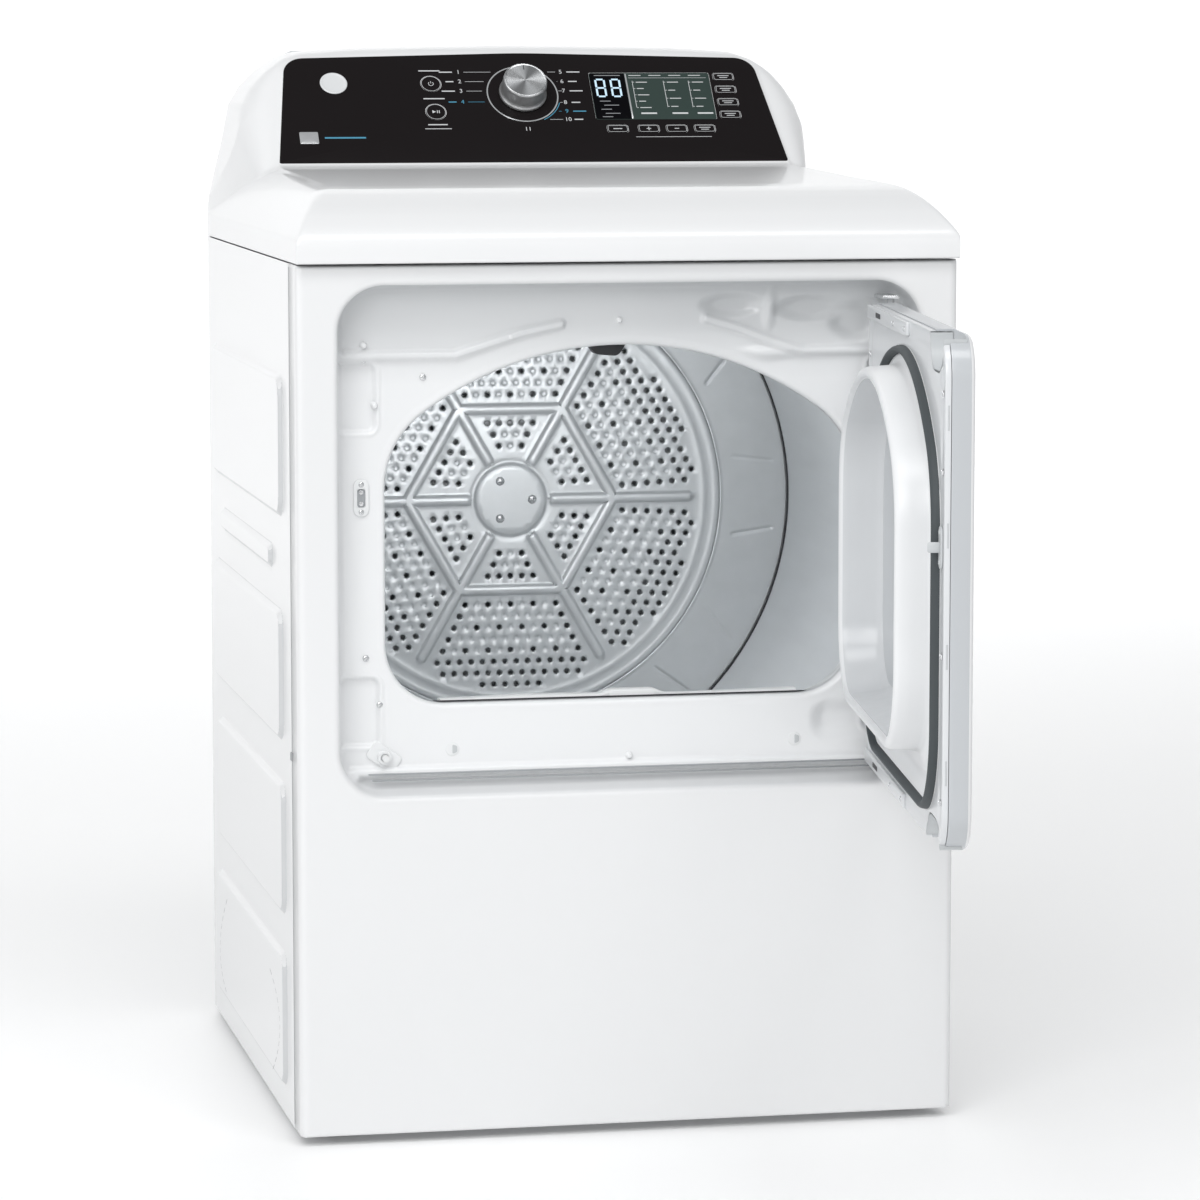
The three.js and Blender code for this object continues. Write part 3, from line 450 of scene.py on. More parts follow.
def vary_roughness(material, texture, output, low, high):
    """Drives the roughness between two values by a texture."""
    span = add_node(material, "ShaderNodeMapRange")
    span.inputs["To Min"].default_value = low
    span.inputs["To Max"].default_value = high
    link(material, texture, output, span, "Value")
    link(material, span, "Result", material.node_tree.nodes["Principled BSDF"], "Roughness")


def bumpy(material, texture, output, strength, distance):
    """Raises a fine relief from a texture."""
    bump = add_node(material, "ShaderNodeBump", Strength=strength, Distance=distance)
    link(material, texture, output, bump, "Height")
    link(material, bump, "Normal", material.node_tree.nodes["Principled BSDF"], "Normal")


def shade(color, factor):
    """The colour made darker or lighter, up to full."""
    return tuple(min(1, c * factor) for c in color)


def enamel(name, color, roughness=0.28, coat=0.35):
    """Baked enamel: an even coat with a barely visible fine grain in its tone and gloss."""
    material = shader(name, color, roughness, coat=coat)
    tint(material, noise(material, 900, 1), "Fac", shade(color, 0.996), shade(color, 1.004), 0, 1)
    vary_roughness(material, noise(material, 700, 1), "Fac", roughness - 0.008, roughness + 0.008)
    return material


def recess_enamel_painted_shade(name, color, dark, low, high):
    """Enamel with painted shade: it greys gently towards the top of the recess, between two heights in
    metres, as if in the shadow of the recess's top wall.
    """
    material = enamel(name, color, 0.3)
    where = add_node(material, "ShaderNodeTexCoord")
    parts = add_node(material, "ShaderNodeSeparateXYZ")
    link(material, where, "Object", parts, "Vector")
    span = add_node(material, "ShaderNodeMapRange")
    span.inputs["From Min"].default_value = low
    span.inputs["From Max"].default_value = high
    link(material, parts, "Z", span, "Value")
    tint(material, span, "Result", color, dark, 0, 1)
    return material


def moulded(name, color, roughness=0.4, grain=0.12):
    """Moulded plastic with a fine grain."""
    material = shader(name, color, roughness)
    tint(material, noise(material, 8, 3), "Fac", shade(color, 0.97), color)
    vary_roughness(material, noise(material, 60, 3), "Fac", roughness - 0.05, roughness + 0.06)
    if grain:
        bumpy(material, noise(material, 900, 1), "Fac", grain * 0.4, 0.0002)
    return material


def sheet_metal(name, color, roughness, stretch=(1, 1, 1), contrast=0.9, metallic=0.85):
    """Coated sheet steel with faint rolling marks."""
    material = shader(name, color, roughness, metallic=metallic)
    streaks = noise(material, 40, 4, stretch)
    tint(material, streaks, "Fac", shade(color, contrast), shade(color, 1.03))
    vary_roughness(material, noise(material, 14, 4), "Fac", roughness - 0.06, roughness + 0.08)
    bumpy(material, streaks, "Fac", 0.03, 0.0002)
    return material


def spangled(name, color):
    """Galvanised steel with its crystal pattern."""
    material = shader(name, color, 0.42, metallic=0.7)
    crystals = add_node(material, "ShaderNodeTexVoronoi", Scale=130)
    link(material, object_coordinates(material), "Vector", crystals, "Vector")
    tint(material, crystals, "Color", shade(color, 0.9), shade(color, 1.08), 0, 1)
    vary_roughness(material, crystals, "Distance", 0.34, 0.5)
    return material


def spun_metal(name, color):
    """Aluminium turned on a lathe: fine rings about the piece's own Z, and streaked highlights."""
    material = shader(name, color, 0.26, metallic=1.0)
    node = material.node_tree.nodes["Principled BSDF"]
    node.inputs["Anisotropic"].default_value = 0.85
    tangent = add_node(material, "ShaderNodeTangent", direction_type="RADIAL", axis="Z")
    link(material, tangent, "Tangent", node, "Tangent")
    rings = add_node(material, "ShaderNodeTexWave", Scale=420, Distortion=0.4, wave_type="RINGS",
                     rings_direction="Z")
    link(material, object_coordinates(material), "Vector", rings, "Vector")
    bumpy(material, rings, "Fac", 0.05, 0.0001)
    vary_roughness(material, noise(material, 300, 3), "Fac", 0.22, 0.32)
    return material


def glossy_black(name, color):
    """A dark gloss surface that keeps its depth under a bright surround."""
    material = shader(name, color, 0.22, specular=0.04)
    tint(material, noise(material, 6, 2), "Fac", shade(color, 0.92), color, 0, 1)
    vary_roughness(material, noise(material, 40, 3), "Fac", 0.19, 0.25)
    return material


def dial_face_painted_fans(name, color):
    """Spun aluminium with painted highlights: crossed fans of light and dark painted into its colour by angle
    about the piece's own Z, in place of the brushed face's reflections.
    """
    material = spun_metal(name, color)
    where = add_node(material, "ShaderNodeTexCoord")
    parts = add_node(material, "ShaderNodeSeparateXYZ")
    link(material, where, "Object", parts, "Vector")
    angle = add_node(material, "ShaderNodeMath", operation="ARCTAN2")
    link(material, parts, "Y", angle, 0)
    link(material, parts, "X", angle, 1)
    # Four bright and four dark fans by angle: painted highlights.
    painted_fans = add_node(material, "ShaderNodeMath", operation="MULTIPLY_ADD")
    painted_fans.inputs[1].default_value = 4
    painted_fans.inputs[2].default_value = 0.6
    link(material, angle, "Value", painted_fans, 0)
    wave = add_node(material, "ShaderNodeMath", operation="SINE")
    link(material, painted_fans, "Value", wave, 0)
    half = add_node(material, "ShaderNodeMath", operation="MULTIPLY_ADD")
    half.inputs[1].default_value = 0.5
    half.inputs[2].default_value = 0.5
    link(material, wave, "Value", half, 0)
    tint(material, half, "Value", shade(color, 0.55), shade(color, 1.25), 0.1, 0.95)
    return material


def glowing(name, color, strength):
    """A lit surface."""
    material = shader(name, (0, 0, 0), 0.5)
    node = material.node_tree.nodes["Principled BSDF"]
    node.inputs["Emission Color"].default_value = (*color, 1)
    node.inputs["Emission Strength"].default_value = strength
    return material


def felted(name, color):
    """Matt wool felt with short fibres."""
    material = shader(name, color, 0.95)
    fibres = noise(material, 900, 5)
    tint(material, fibres, "Fac", shade(color, 0.6), color)
    bumpy(material, fibres, "Fac", 0.5, 0.001)
    return material


WHITE = enamel("white_enamel", (0.80, 0.805, 0.81))
LINER = enamel("inner_enamel", (0.80, 0.81, 0.815), 0.34)
CONSOLE = enamel("console_white", (0.82, 0.825, 0.83), 0.3, 0.3)
# The recess enamel greys towards its top: painted shade.
RECESS_PAINTED_SHADE = recess_enamel_painted_shade("recess_enamel_painted_shade", (0.83, 0.838, 0.845), (0.56, 0.575, 0.585), 0.775, 0.885)
DOOR_PLASTIC = moulded("liner_white", (0.80, 0.81, 0.82), 0.32, 0.05)
# Grey for the door pan's sides: painted shade on a white door.
DOOR_SIDE_PAINTED_SHADE = enamel("door_pan", (0.52, 0.54, 0.56), 0.3)
DOOR_FLANGE = enamel("door_flange", (0.70, 0.715, 0.73), 0.3)
WHITE_PLASTIC = moulded("white_plastic", (0.78, 0.79, 0.79))
GREY_PLASTIC = moulded("grey_plastic", (0.55, 0.57, 0.58))
# Dark grey for the painted shadow line along the side seam, and for its fastener.
SEAM_SHADOW_AND_FASTENER_GREY = moulded("seam_shadow_and_fastener_grey", (0.36, 0.37, 0.38), 0.5)
# Dark grey for painted shade lines along the sill and in the catch's slot.
PAINTED_SHADE_GREY = moulded("painted_shade_grey", (0.36, 0.375, 0.39), 0.35)
# Darker enamel for the side fields' slopes that face away from the light: painted shade.
FIELD_SLOPE_PAINTED_SHADE = enamel("side_slope_painted_shade", (0.60, 0.61, 0.62), 0.3)
# A darker copy of the liner plastic for the bowl's inside: painted shade.
BOWL_INSIDE_PAINTED_SHADE = moulded("bowl_inside", (0.66, 0.675, 0.69), 0.22, 0.05)
DARK_PLASTIC = moulded("dark_plastic", (0.03, 0.03, 0.034), 0.5)
GLOSS_BLACK = glossy_black("gloss_black", (0.0125, 0.0105, 0.011))
BLACK_LENS = glossy_black("black_lens", (0.003, 0.003, 0.004))
DISPLAY = glossy_black("display_lens", (0.042, 0.062, 0.056))
INK = shader("printed_light", (0.62, 0.63, 0.64), 0.5)
DIM_INK = shader("printed_grey", (0.28, 0.29, 0.3), 0.5)
BLUE_INK = shader("printed_blue", (0.06, 0.28, 0.42), 0.5)
DIGITS = glowing("lit_digits", (0.62, 0.84, 1.0), 1.1)
SILVER_PAINTED_HIGHLIGHTS = dial_face_painted_fans("spun_aluminium_painted_highlights", (0.68, 0.69, 0.70))
KNOB_SIDE = sheet_metal("knob_side", (0.62, 0.625, 0.63), 0.34, (1, 1, 1), 0.98, 0.8)
CHROME = sheet_metal("bright_metal", (0.75, 0.76, 0.77), 0.2)
SHELL = sheet_metal("drum_steel", (0.53, 0.55, 0.565), 0.55, (1, 0.15, 1), 0.98, 0.25)
HEAD = sheet_metal("rear_head_steel", (0.45, 0.468, 0.48), 0.44, (1, 1, 1), 0.98, 0.5)
PALE_BADGE = moulded("pale_badge", (0.70, 0.71, 0.72), 0.35)
GALVANISED = spangled("galvanised_steel", (0.50, 0.52, 0.54))
STEEL = sheet_metal("plain_steel", (0.45, 0.46, 0.47), 0.35)
RUBBER = moulded("dark_rubber", (0.055, 0.065, 0.07), 0.6, 0.3)
FELT = felted("wool_felt", (0.35, 0.33, 0.29))
BOARD = moulded("circuit_board", (0.02, 0.12, 0.05), 0.4)
HOT_WIRE = sheet_metal("resistance_wire", (0.22, 0.15, 0.12), 0.5)


# ---------------------------------------------------------------- small fittings
def screw(x, z, y, radius=3.6, facing=-1):
    """A domed cross-recess screw head on a wall at depth y, facing the front (-1) or the back (+1)."""
    count = 40
    angle = np.linspace(0, 2 * math.pi, count, endpoint=False)
    rings = []
    for r in np.linspace(0.02, 1, 9) * radius:
        px, pz = r * np.cos(angle), r * np.sin(angle)
        dome = 0.55 * radius * np.sqrt(np.clip(1.02 - (r / radius) ** 2, 0, 1))
        slot = np.minimum(np.abs(px), np.abs(pz)) < 0.16 * radius
        recess = np.where(slot & (r < 0.62 * radius), 0.3 * radius, 0)
        rings.append(np.stack([x + px, y + facing * (dome - recess), z + pz], axis=1))
    return lofted(rings, cap_first=True)


def screws(name, places, material, body, **keys):
    """A piece of several screw heads."""
    return piece(name, *joined(*[screw(*place) for place in places]), material, body, **keys)


# ---------------------------------------------------------------- cabinet
def side_emboss(y, z):
    """How far a side panel stands out at (y, z)."""
    depth = np.zeros(np.shape(y))
    for y0, y1, z0, z1 in SIDE_FIELDS:
        radius = min(22, (z1 - z0) / 2.6)
        field = box_distance(y, z, y0, y1, z0, z1, radius)
        depth = np.maximum(depth, FIELD_RISE * (1 - smooth_step(field, -6, 0)))
    return depth


def fine_near(low, high, edges, reach=12, fine=1.1, coarse=7):
    """Levels from low to high, closely spaced within reach of the given edges."""
    levels = [low]
    while levels[-1] < high - fine:
        near = min(abs(levels[-1] - edge) for edge in edges) < reach
        levels.append(levels[-1] + (fine if near else min(coarse, max(fine, reach / 2))))
    return np.array(levels[:-1] + [high])


def side_panel(sign, name):
    """A wide sheet with raised fields, a turned-in rear edge and a hemmed front edge."""
    y_edges = [edge for field in SIDE_FIELDS for edge in (field[0] + 9, field[1] - 9)]
    z_edges = [edge for field in SIDE_FIELDS for edge in (field[2] + 9, field[3] - 9)]
    y = np.concatenate([[SEAM_Y + 0.6] * 2, fine_near(SEAM_Y + 2.2, DEPTH - 2, y_edges, 16),
                        [DEPTH + 1.4] * 2])
    z = np.concatenate([[SKIRT] * 2, fine_near(SKIRT + 1.5, TOP - 0.8, z_edges, 16)])
    deep = np.full(len(y), HALF, float)
    deep[0], deep[1], deep[-2], deep[-1] = HALF - 14, HALF - 1.6, HALF - 1.6, HALF - 16
    rows = []
    for level, height in enumerate(z):
        x = deep + np.where(deep == HALF, side_emboss(y, np.full(len(y), height)), 0)
        if level == 0:
            x = x - 12
        rows.append(np.stack([sign * x, y, np.full(len(y), height)], axis=1))
    obj = piece(name + "_sheet", np.concatenate(rows), grid(len(z), len(y)), WHITE, "cabinet",
                slot="cabinet_white", replaces=[name], sharp=50)
    # Field slopes that face sideways or down take the darker enamel: painted shade.
    obj.data.materials.append(FIELD_SLOPE_PAINTED_SHADE)
    for polygon in obj.data.polygons:
        sloped = abs(polygon.normal.x) < 0.975 and SEAM_Y + 4 < polygon.center.y * 1000 - FRONT_Y < DEPTH - 4
        polygon.material_index = 1 if sloped and polygon.normal.z < 0.3 else 0
    # The thin dark strip along the seam is a painted shadow line; the small block beside it is a fastener.
    line_x = sorted((sign * (HALF - 2), sign * (HALF + 0.25)))
    fastener_x = sorted((sign * (HALF - 2), sign * (HALF + 1.6)))
    seam = [box(*line_x, SEAM_Y - 0.7, SEAM_Y + 0.9, SKIRT + 4, TOP - 3, 0.2),
            box(*fastener_x, SEAM_Y - 5, SEAM_Y + 5, 391, 400, 1.0)]
    piece(name + "_seam", *joined(*seam), SEAM_SHADOW_AND_FASTENER_GREY, "cabinet", slot="grey_plastic")


def knockout_marks():
    """The dashed rings of the two vent knock-outs in the lowest left field."""
    dashes = []
    for points in (((545, 160), (611, 92), (552, 49)), ((196, 148), (123, 103), (187, 39))):
        (ay, az), (by, bz), (cy, cz) = points
        t = np.linspace(0, 1, 13)
        y = (1 - t) ** 2 * ay + 2 * t * (1 - t) * (2 * by - (ay + cy) / 2) + t ** 2 * cy
        z = (1 - t) ** 2 * az + 2 * t * (1 - t) * (2 * bz - (az + cz) / 2) + t ** 2 * cz
        for i in range(12):
            start, end = np.array((y[i], z[i])), np.array((y[i + 1], z[i + 1]))
            along = (end - start) * 0.6
            across = np.array((-along[1], along[0])) / np.linalg.norm(along) * 0.7
            corners = [start - across, start + along - across, start + along + across, start + across]
            for sign in (-1, 1):
                points_3d = [(sign * (HALF + FIELD_RISE + 0.06), p[0], p[1]) for p in corners]
                dashes.append((np.array(points_3d), [(0, 1, 2, 3)]))
    piece("knockout_marks", *joined(*dashes), DIM_INK, "cabinet", slot="galvanised")


def recess_ring(distance):
    """The recess outline, inset by distance."""
    ring = rectangle(RECESS["left"] + distance, RECESS["right"] - distance, RECESS["bottom"] + distance,
                     RECESS["top"] - distance, max(6, RECESS["radius"] - distance))
    return around(ring, PANEL_CENTRE, RING)


def floor_relief(x, z):
    """Pressed shapes on the recess floor: how far each point stands out towards the front."""
    lift = np.zeros(np.shape(x))

    def ridge(points, height, width):
        """A rounded ridge along a path."""
        d = line_distance(x, z, points)
        return height * (1 - smooth_step(d, width * 0.25, width))

    left = [(-299, 804), (-175, 804), (-140, 815), (-108, 825), (-66, 834)]
    right = [(303, 804), (190, 804), (156, 814), (120, 828), (86, 838)]
    for points in (left, right):
        lift = np.maximum(lift, ridge(points, 5.5, 6.5))
    pads = ((-330, -256, 726, 797), (-330, -254, 405, 476), (258, 330, 726, 797), (256, 330, 405, 476))
    for x0, x1, z0, z1 in pads:
        d = box_distance(x, z, x0, x1, z0, z1, 9)
        lift = lift - 4.5 * (1 - smooth_step(d, -3.2, 0)) + 1.4 * np.exp(-((d - 2.2) / 1.6) ** 2)
    for x0, z0, wide, tall, deep in ((112, 852, 34, 13, 9), (196, 848, 40, 14, 10), (246, 834, 30, 22, 8)):
        d = np.hypot((x - x0) / wide, (z - z0) / tall)
        lift = lift - deep * (1 - smooth_step(d, 0.45, 1.15))
    for x0, z0, wide, tall, high in ((152, 846, 9, 24, 4.5), (150, 802, 44, 9, 5)):
        d = np.hypot((x - x0) / wide, (z - z0) / tall)
        lift = lift + high * (1 - smooth_step(d, 0.1, 1.1))
    d = box_distance(x, z, 196, 292, 396, 444, 22)
    lift = lift - 8.0 * (1 - smooth_step(d, -20, 0))
    lift = lift + 13 * smooth_step(z, 822, 880)
    ledge = smooth_step(z, 373, 376) - smooth_step(z, 381, 385)
    groove = 1 - smooth_step(np.abs(z - 370.5), 0.5, 3.5)
    return lift + 7.0 * ledge - 4.0 * groove


def front_panel():
    """The front sheet: wrapped edges, the pressed recess, and the opening with its turned lip."""
    centre = PANEL_CENTRE
    depth = RECESS["depth"]
    rings = []
    for turn in (1.0, 0.98, 0.75, 0.5, 0.25, 0.0):
        angle = turn * math.pi / 2
        edge = rectangle(-HALF + 7 - 7 * math.sin(angle), HALF - 7 + 7 * math.sin(angle),
                         SKIRT + 3 - 3 * math.sin(angle), TOP - 3.8 + 3 * math.sin(angle), 1.2)
        ring = around(edge, centre, RING)
        y = np.full(RING, 7 - 7 * math.cos(angle))
        if turn == 1.0:
            side = np.abs(ring[:, 0]) > HALF - 1
            y = np.where(side, SEAM_Y, 16)
        rings.append(at_y(ring, y))
    flat_edge = rectangle(-HALF + 9, HALF - 9, SKIRT + 5, TOP - 5.5, 1.2)
    rings.append(at_y(around(flat_edge, centre, RING), 0))
    floor = recess_ring(11)
    shallower = 1 - floor_relief(floor[:, 0], floor[:, 1]) / depth
    for grow, y in ((12, 0), (6.5, 0), (5, 0.04), (2.6, 0.5), (0.8, 1.8), (-0.4, 4), (-1.6, 12),
                    (-2.8, 24), (-4.0, 32), (-5.6, 36.5), (-8.2, 39.2), (-11, depth)):
        rings.append(at_y(recess_ring(-grow), y * shallower))
    inner = around(arch(OPENING, 9), centre, RING)
    outer = recess_ring(11)
    for t in np.linspace(0, 1, 44)[1:]:
        flat = outer * (1 - t) + inner * t
        fade = 1 - smooth_step(np.full(RING, t), 0.9, 1.0)
        rings.append(at_y(flat, depth - floor_relief(flat[:, 0], flat[:, 1]) * fade))
    for grow, y in ((6.5, 39.6), (4.2, 39.4), (2.2, 40.2), (0.7, 42.2), (0, 45), (0, LIP_END)):
        rings.append(at_y(around(arch(OPENING, grow), centre, RING), y))
    points, faces = lofted(rings)
    obj = piece("front_panel_sheet", points, faces, WHITE, "cabinet", slot="cabinet_white",
                replaces=["front_panel"], sharp=60)
    thicken(obj, 1.2)
    # Faces inside the recess take the enamel with painted shade towards the top.
    obj.data.materials.append(RECESS_PAINTED_SHADE)
    for polygon in obj.data.polygons:
        x, y, z = polygon.center * 1000
        outside = box_distance(x, z, RECESS["left"], RECESS["right"], RECESS["bottom"], RECESS["top"],
                               RECESS["radius"])
        polygon.material_index = 1 if outside < -0.4 and y - FRONT_Y > 1.5 else 0


def recess_fittings():
    """Screws, nubs, clips, painted shade lines along the sill and hinge plugs in the recess."""
    y = RECESS["depth"]
    low_screws = [(-269, 800), (-208, 782), (-268, 496), (-254, 448), (240, 742)]
    heads = [screw(px, pz, y - 0.4, 3.4) for px, pz in low_screws]
    nubs = [turned(soft_profile([(0, y - 6), (2.2, y - 6), (3.4, y - 2), (4.2, y + 0.5), (0, y + 0.5)], 0.8),
                   place, count=24) for place in ((-269, 815), (-118, 822), (-5, 838), (6, 388), (-258, 754))]
    piece("recess_screws", *joined(*heads), CHROME, "cabinet", slot="steel")
    piece("recess_nubs", *joined(*nubs), LINER, "cabinet", slot="cabinet_white")
    clips = [box(px - 3.5, px + 3.5, 24, 27, 874.4, 877.4, 0.8) for px in (-178, -132, 0, 168)]
    piece("recess_top_clips", *joined(*clips), GREY_PLASTIC, "cabinet", slot="grey_plastic")
    # Two dark grey rods in the sill's groove and along its ledge are painted shade lines.
    shade_lines = [box(-264, 292, y - 9.4, y - 5, 369.8, 371.4, 0.7),
             box(-268, 296, y - 8.4, y - 6, 376.2, 377.8, 0.7)]
    piece("recess_sill_shade_lines", *joined(*shade_lines), PAINTED_SHADE_GREY, "cabinet", slot="grey_plastic")
    plugs, dark = [], []
    for px, pz in ((-179, 400), (182, 400)):
        plugs.append(prism(circle(px, pz, 7, 32), y - 0.8, y + 0.4, 0.5, step=1.2))
        half = rounded([(px, pz - 5, 1), (px + 5, pz - 3, 2), (px + 5, pz + 3, 2), (px, pz + 5, 1)], 0.6)
        dark.append(prism(half, y - 1.1, y - 0.6, 0.15, step=0.8))
    piece("hinge_plugs", *joined(*plugs), LINER, "cabinet", slot="cabinet_white")
    piece("hinge_plug_slots", *joined(*dark), GREY_PLASTIC, "cabinet", slot="grey_plastic")


CATCH = (-272, 660)
SWITCH = (-250, 394)


def catch_and_switch():
    """The white catch plate with its slot and rollers, and the tilted door-switch plate."""
    y = RECESS["depth"]
    x, z = CATCH
    plate = prism(rectangle(x - 8, x + 8, z - 19, z + 19, 7.5), y - 2, y - 0.3, 0.7, step=1.2)
    obj = piece("catch_plate", *plate, LINER, "cabinet", slot="grey_plastic", replaces=["door_catch"])
    carve(obj, [prism(rectangle(x - 4.2, x + 4.2, z - 9.5, z + 9.5, 2), y - 5, y + 5, 0.2, step=1.2)])
    # A dark grey patch at the bottom of the catch's slot is painted shade.
    well = prism(rectangle(x - 4, x + 4, z - 9.2, z + 9.2, 2), y - 0.6, y - 0.1, 0.15)
    piece("catch_well", *well, PAINTED_SHADE_GREY, "cabinet", slot="grey_plastic")
    roller = soft_profile([(0, y - 1.6), (2.3, y - 1.6), (2.3, y - 0.7), (0, y - 0.7)], 0.3)
    rollers = [turned(roller, (x, z + d), count=24) for d in (-5.8, 5.8)]
    piece("catch_rollers", *joined(*rollers), CHROME, "cabinet", slot="grey_plastic")
    screws("catch_screws", [(x, z + d, y - 1.9, 2.8) for d in (14, -14)], CHROME, "cabinet", slot="steel")
    tilt = math.radians(-35)
    ring = rectangle(-17, 17, -10, 10, 3.5)
    c, s = math.cos(tilt), math.sin(tilt)
    turned_ring = np.stack([SWITCH[0] + ring[:, 0] * c - ring[:, 1] * s,
                            SWITCH[1] + ring[:, 0] * s + ring[:, 1] * c], axis=1)
    plate = prism(turned_ring, y - 2.3, y - 0.3, 0.8, step=1.2)
    boss = soft_profile([(4.1, y - 2.0), (4.1, y - 8), (7, y - 8), (7.6, y - 2.0)], 0.4)
    boss = turned(boss, SWITCH, count=40)
    piece("switch_plate", *joined(plate, boss), LINER, "cabinet", slot="grey_plastic",
          replaces=["door_switch_body"])


LOUVRES = [(-150 + 58 * column, 212 + 24 * row) for column in range(7) for row in range(4)]
EXHAUST = (75, 100)
TERMINAL = (-310, -214, 210, 330)


def rear_relief(x, z):
    """Pressed shapes of the rear sheet: a border bead, two ribs, a ring round the heater and louvres."""
    lift = 2.0 * np.exp(-(box_distance(x, z, -324, 324, 32, 884, 18) / 3.4) ** 2)
    lift = np.maximum(lift, 1.8 * np.exp(-((np.hypot(x, z - DRUM_Z) - 276) / 3.2) ** 2))
    for side in (-300, 300):
        rib = line_distance(x, z, [(side, 380), (side, 830)])
        lift = np.maximum(lift, 2.6 * (1 - smooth_step(rib, 3, 8)))
    for px, pz in LOUVRES:
        across = 1 - smooth_step(np.abs(x - px), 17, 23)
        hood = np.where(z > pz, 1 - smooth_step(z - pz, 1, 13), 0)
        lift = np.maximum(lift, 5.0 * across * hood)
    return lift


def rear_side():
    """The rear sheet with its louvres, screws and the collar round the exhaust."""
    x, z = np.linspace(-340.4, 340.4, 320), np.linspace(SKIRT + 3, TOP - 0.6, 420)
    gx, gz = np.meshgrid(x, z)
    points = np.stack([gx, DEPTH - 0.4 + rear_relief(gx, gz), gz], axis=-1).reshape(-1, 3)
    middle = points[:, [0, 2]] - EXHAUST
    inside = np.hypot(middle[:, 0], middle[:, 1]) < 51.5
    faces = [face for face in grid(len(z), len(x)) if not inside[list(face)].any()]
    obj = piece("rear_panel_sheet", points, faces, GALVANISED, "cabinet", slot="galvanised",
                replaces=["rear_panel"], sharp=50)
    thicken(obj, 1.0)
    mouths = [box(px - 18, px + 18, DEPTH + 0.2, DEPTH + 3.6, pz - 1.4, pz + 0.2, 0.3) for px, pz in LOUVRES]
    piece("louvre_mouths", *joined(*mouths), DARK_PLASTIC, "cabinet", slot="dark_plastic")
    collar = [(51.6, DEPTH - 1), (64, DEPTH - 1), (64, DEPTH + 1.6), (54, DEPTH + 2), (52.6, DEPTH + 6),
              (51.6, DEPTH + 6), (51.6, DEPTH - 1)]
    piece("exhaust_collar", *turned(soft_profile(collar, 0.6), EXHAUST), GALVANISED, "cabinet",
          slot="galvanised")
    duct = [(49, 173), (58, 173), (58, 175), (51, 175), (51, 714), (52.6, 717), (52.6, 719.4), (51, 722),
            (50.4, 731), (49.6, 732), (49, 731), (49, 173)]
    piece("exhaust_pipe", *turned(soft_profile(duct, 0.8), EXHAUST), GALVANISED, "cabinet", slot="galvanised",
          replaces=["exhaust_duct"])
    places = [(px, pz, DEPTH + 0.2, 4, 1) for px in (-330, -110, 110, 330) for pz in (22, 891)]
    places += [(px, pz, DEPTH + 0.2, 4, 1) for px in (-332, 332) for pz in (240, 460, 680)]
    places += [(EXHAUST[0] + 59 * sign, EXHAUST[1], DEPTH + 1.4, 3, 1) for sign in (-1, 1)]
    screws("rear_panel_screws", places, STEEL, "cabinet", slot="steel")


def heater_shield():
    """The round heater cover: stepped rim, pressed spokes, a centre boss, vent holes and screws."""
    profile = soft_profile([(262, DEPTH + 0.8), (262, DEPTH + 2), (252, DEPTH + 2.4), (249.5, DEPTH + 6),
                            (248, 722), (240, 731), (226, 737), (212, 737), (206, 734.4), (198, 734.4),
                            (193, 737)], 2.5, 4)
    radii = [190, 180, 160, 157, 154, 151, 148, 145, 142, 120, 90]
    radii += [82, 78, 74, 70, 66, 62, 58, 54, 50, 40, 20, 1]
    rings = [(radius, y) for radius, y in profile] + [(radius, 737) for radius in radii]
    angle = np.linspace(0, 2 * math.pi, 720, endpoint=False)
    spoke = np.abs((angle + math.pi / 8) % (math.pi / 4) - math.pi / 8)
    shell = []
    for radius, y in rings:
        along = smooth_step(np.array(radius), 70, 84) - smooth_step(np.array(radius), 144, 157)
        pressed = 3.0 * along * (1 - smooth_step(spoke * radius, 4, 10))
        boss = 1.2 * (1 - smooth_step(np.array(radius), 52, 60))
        shell.append(np.stack([radius * np.cos(angle), y - pressed + boss,
                               DRUM_Z + radius * np.sin(angle)], axis=1))
    obj = piece("heater_shield", *lofted(shell, cap_last=True), GALVANISED, "cabinet", slot="galvanised",
                replaces=["heater_cover"], sharp=50)
    thicken(obj, 1.0)
    vents = [prism(circle(202 * math.cos(a), DRUM_Z + 202 * math.sin(a), 3.4, 20), 734.0, 734.7, 0.2, step=1)
             for a in np.linspace(0, 2 * math.pi, 48, endpoint=False)]
    piece("heater_vents", *joined(*vents), DARK_PLASTIC, "cabinet", slot="dark_plastic")
    screws("heater_screws", [(257 * math.cos(a), DRUM_Z + 257 * math.sin(a), DEPTH + 1.9, 3.6, 1)
                             for a in np.linspace(0.2, 0.2 + 2 * math.pi, 8, endpoint=False)],
           STEEL, "cabinet", slot="steel")


def terminal_box():
    """The small cover over the mains terminals, with its raised lid, screws and the hole's bush."""
    x0, x1, z0, z1 = TERMINAL
    y = DEPTH + 0.4
    shell = prism(rectangle(x0, x1, z0, z1, 6), y, y + 14.2, 3)
    lid = prism(rectangle(x0 + 9, x1 - 9, z0 + 9, z1 - 9, 8), y + 12, y + 15.8, 1.6)
    piece("terminal_lid", *joined(shell, lid), GALVANISED, "cabinet", slot="galvanised",
          replaces=["terminal_cover"])
    middle = (x0 + x1) / 2
    places = [(middle, z, y + 15.6, 4, 1) for z in (z1 - 22, z0 + 20)]
    screws("terminal_screws", places, STEEL, "cabinet", slot="steel")
    bush = [(9, y + 15), (15, y + 15), (15, y + 17), (12, y + 18.4), (9, y + 18.4), (9, y + 15)]
    bush = turned(soft_profile(bush, 0.7), (middle, (z0 + z1) / 2), count=64)
    bore = prism(circle(middle, (z0 + z1) / 2, 9.2, 48), y + 15.4, y + 16.2, 0.2, step=1.5)
    piece("terminal_bush", *joined(bush, bore), DARK_PLASTIC, "cabinet", slot="dark_plastic")


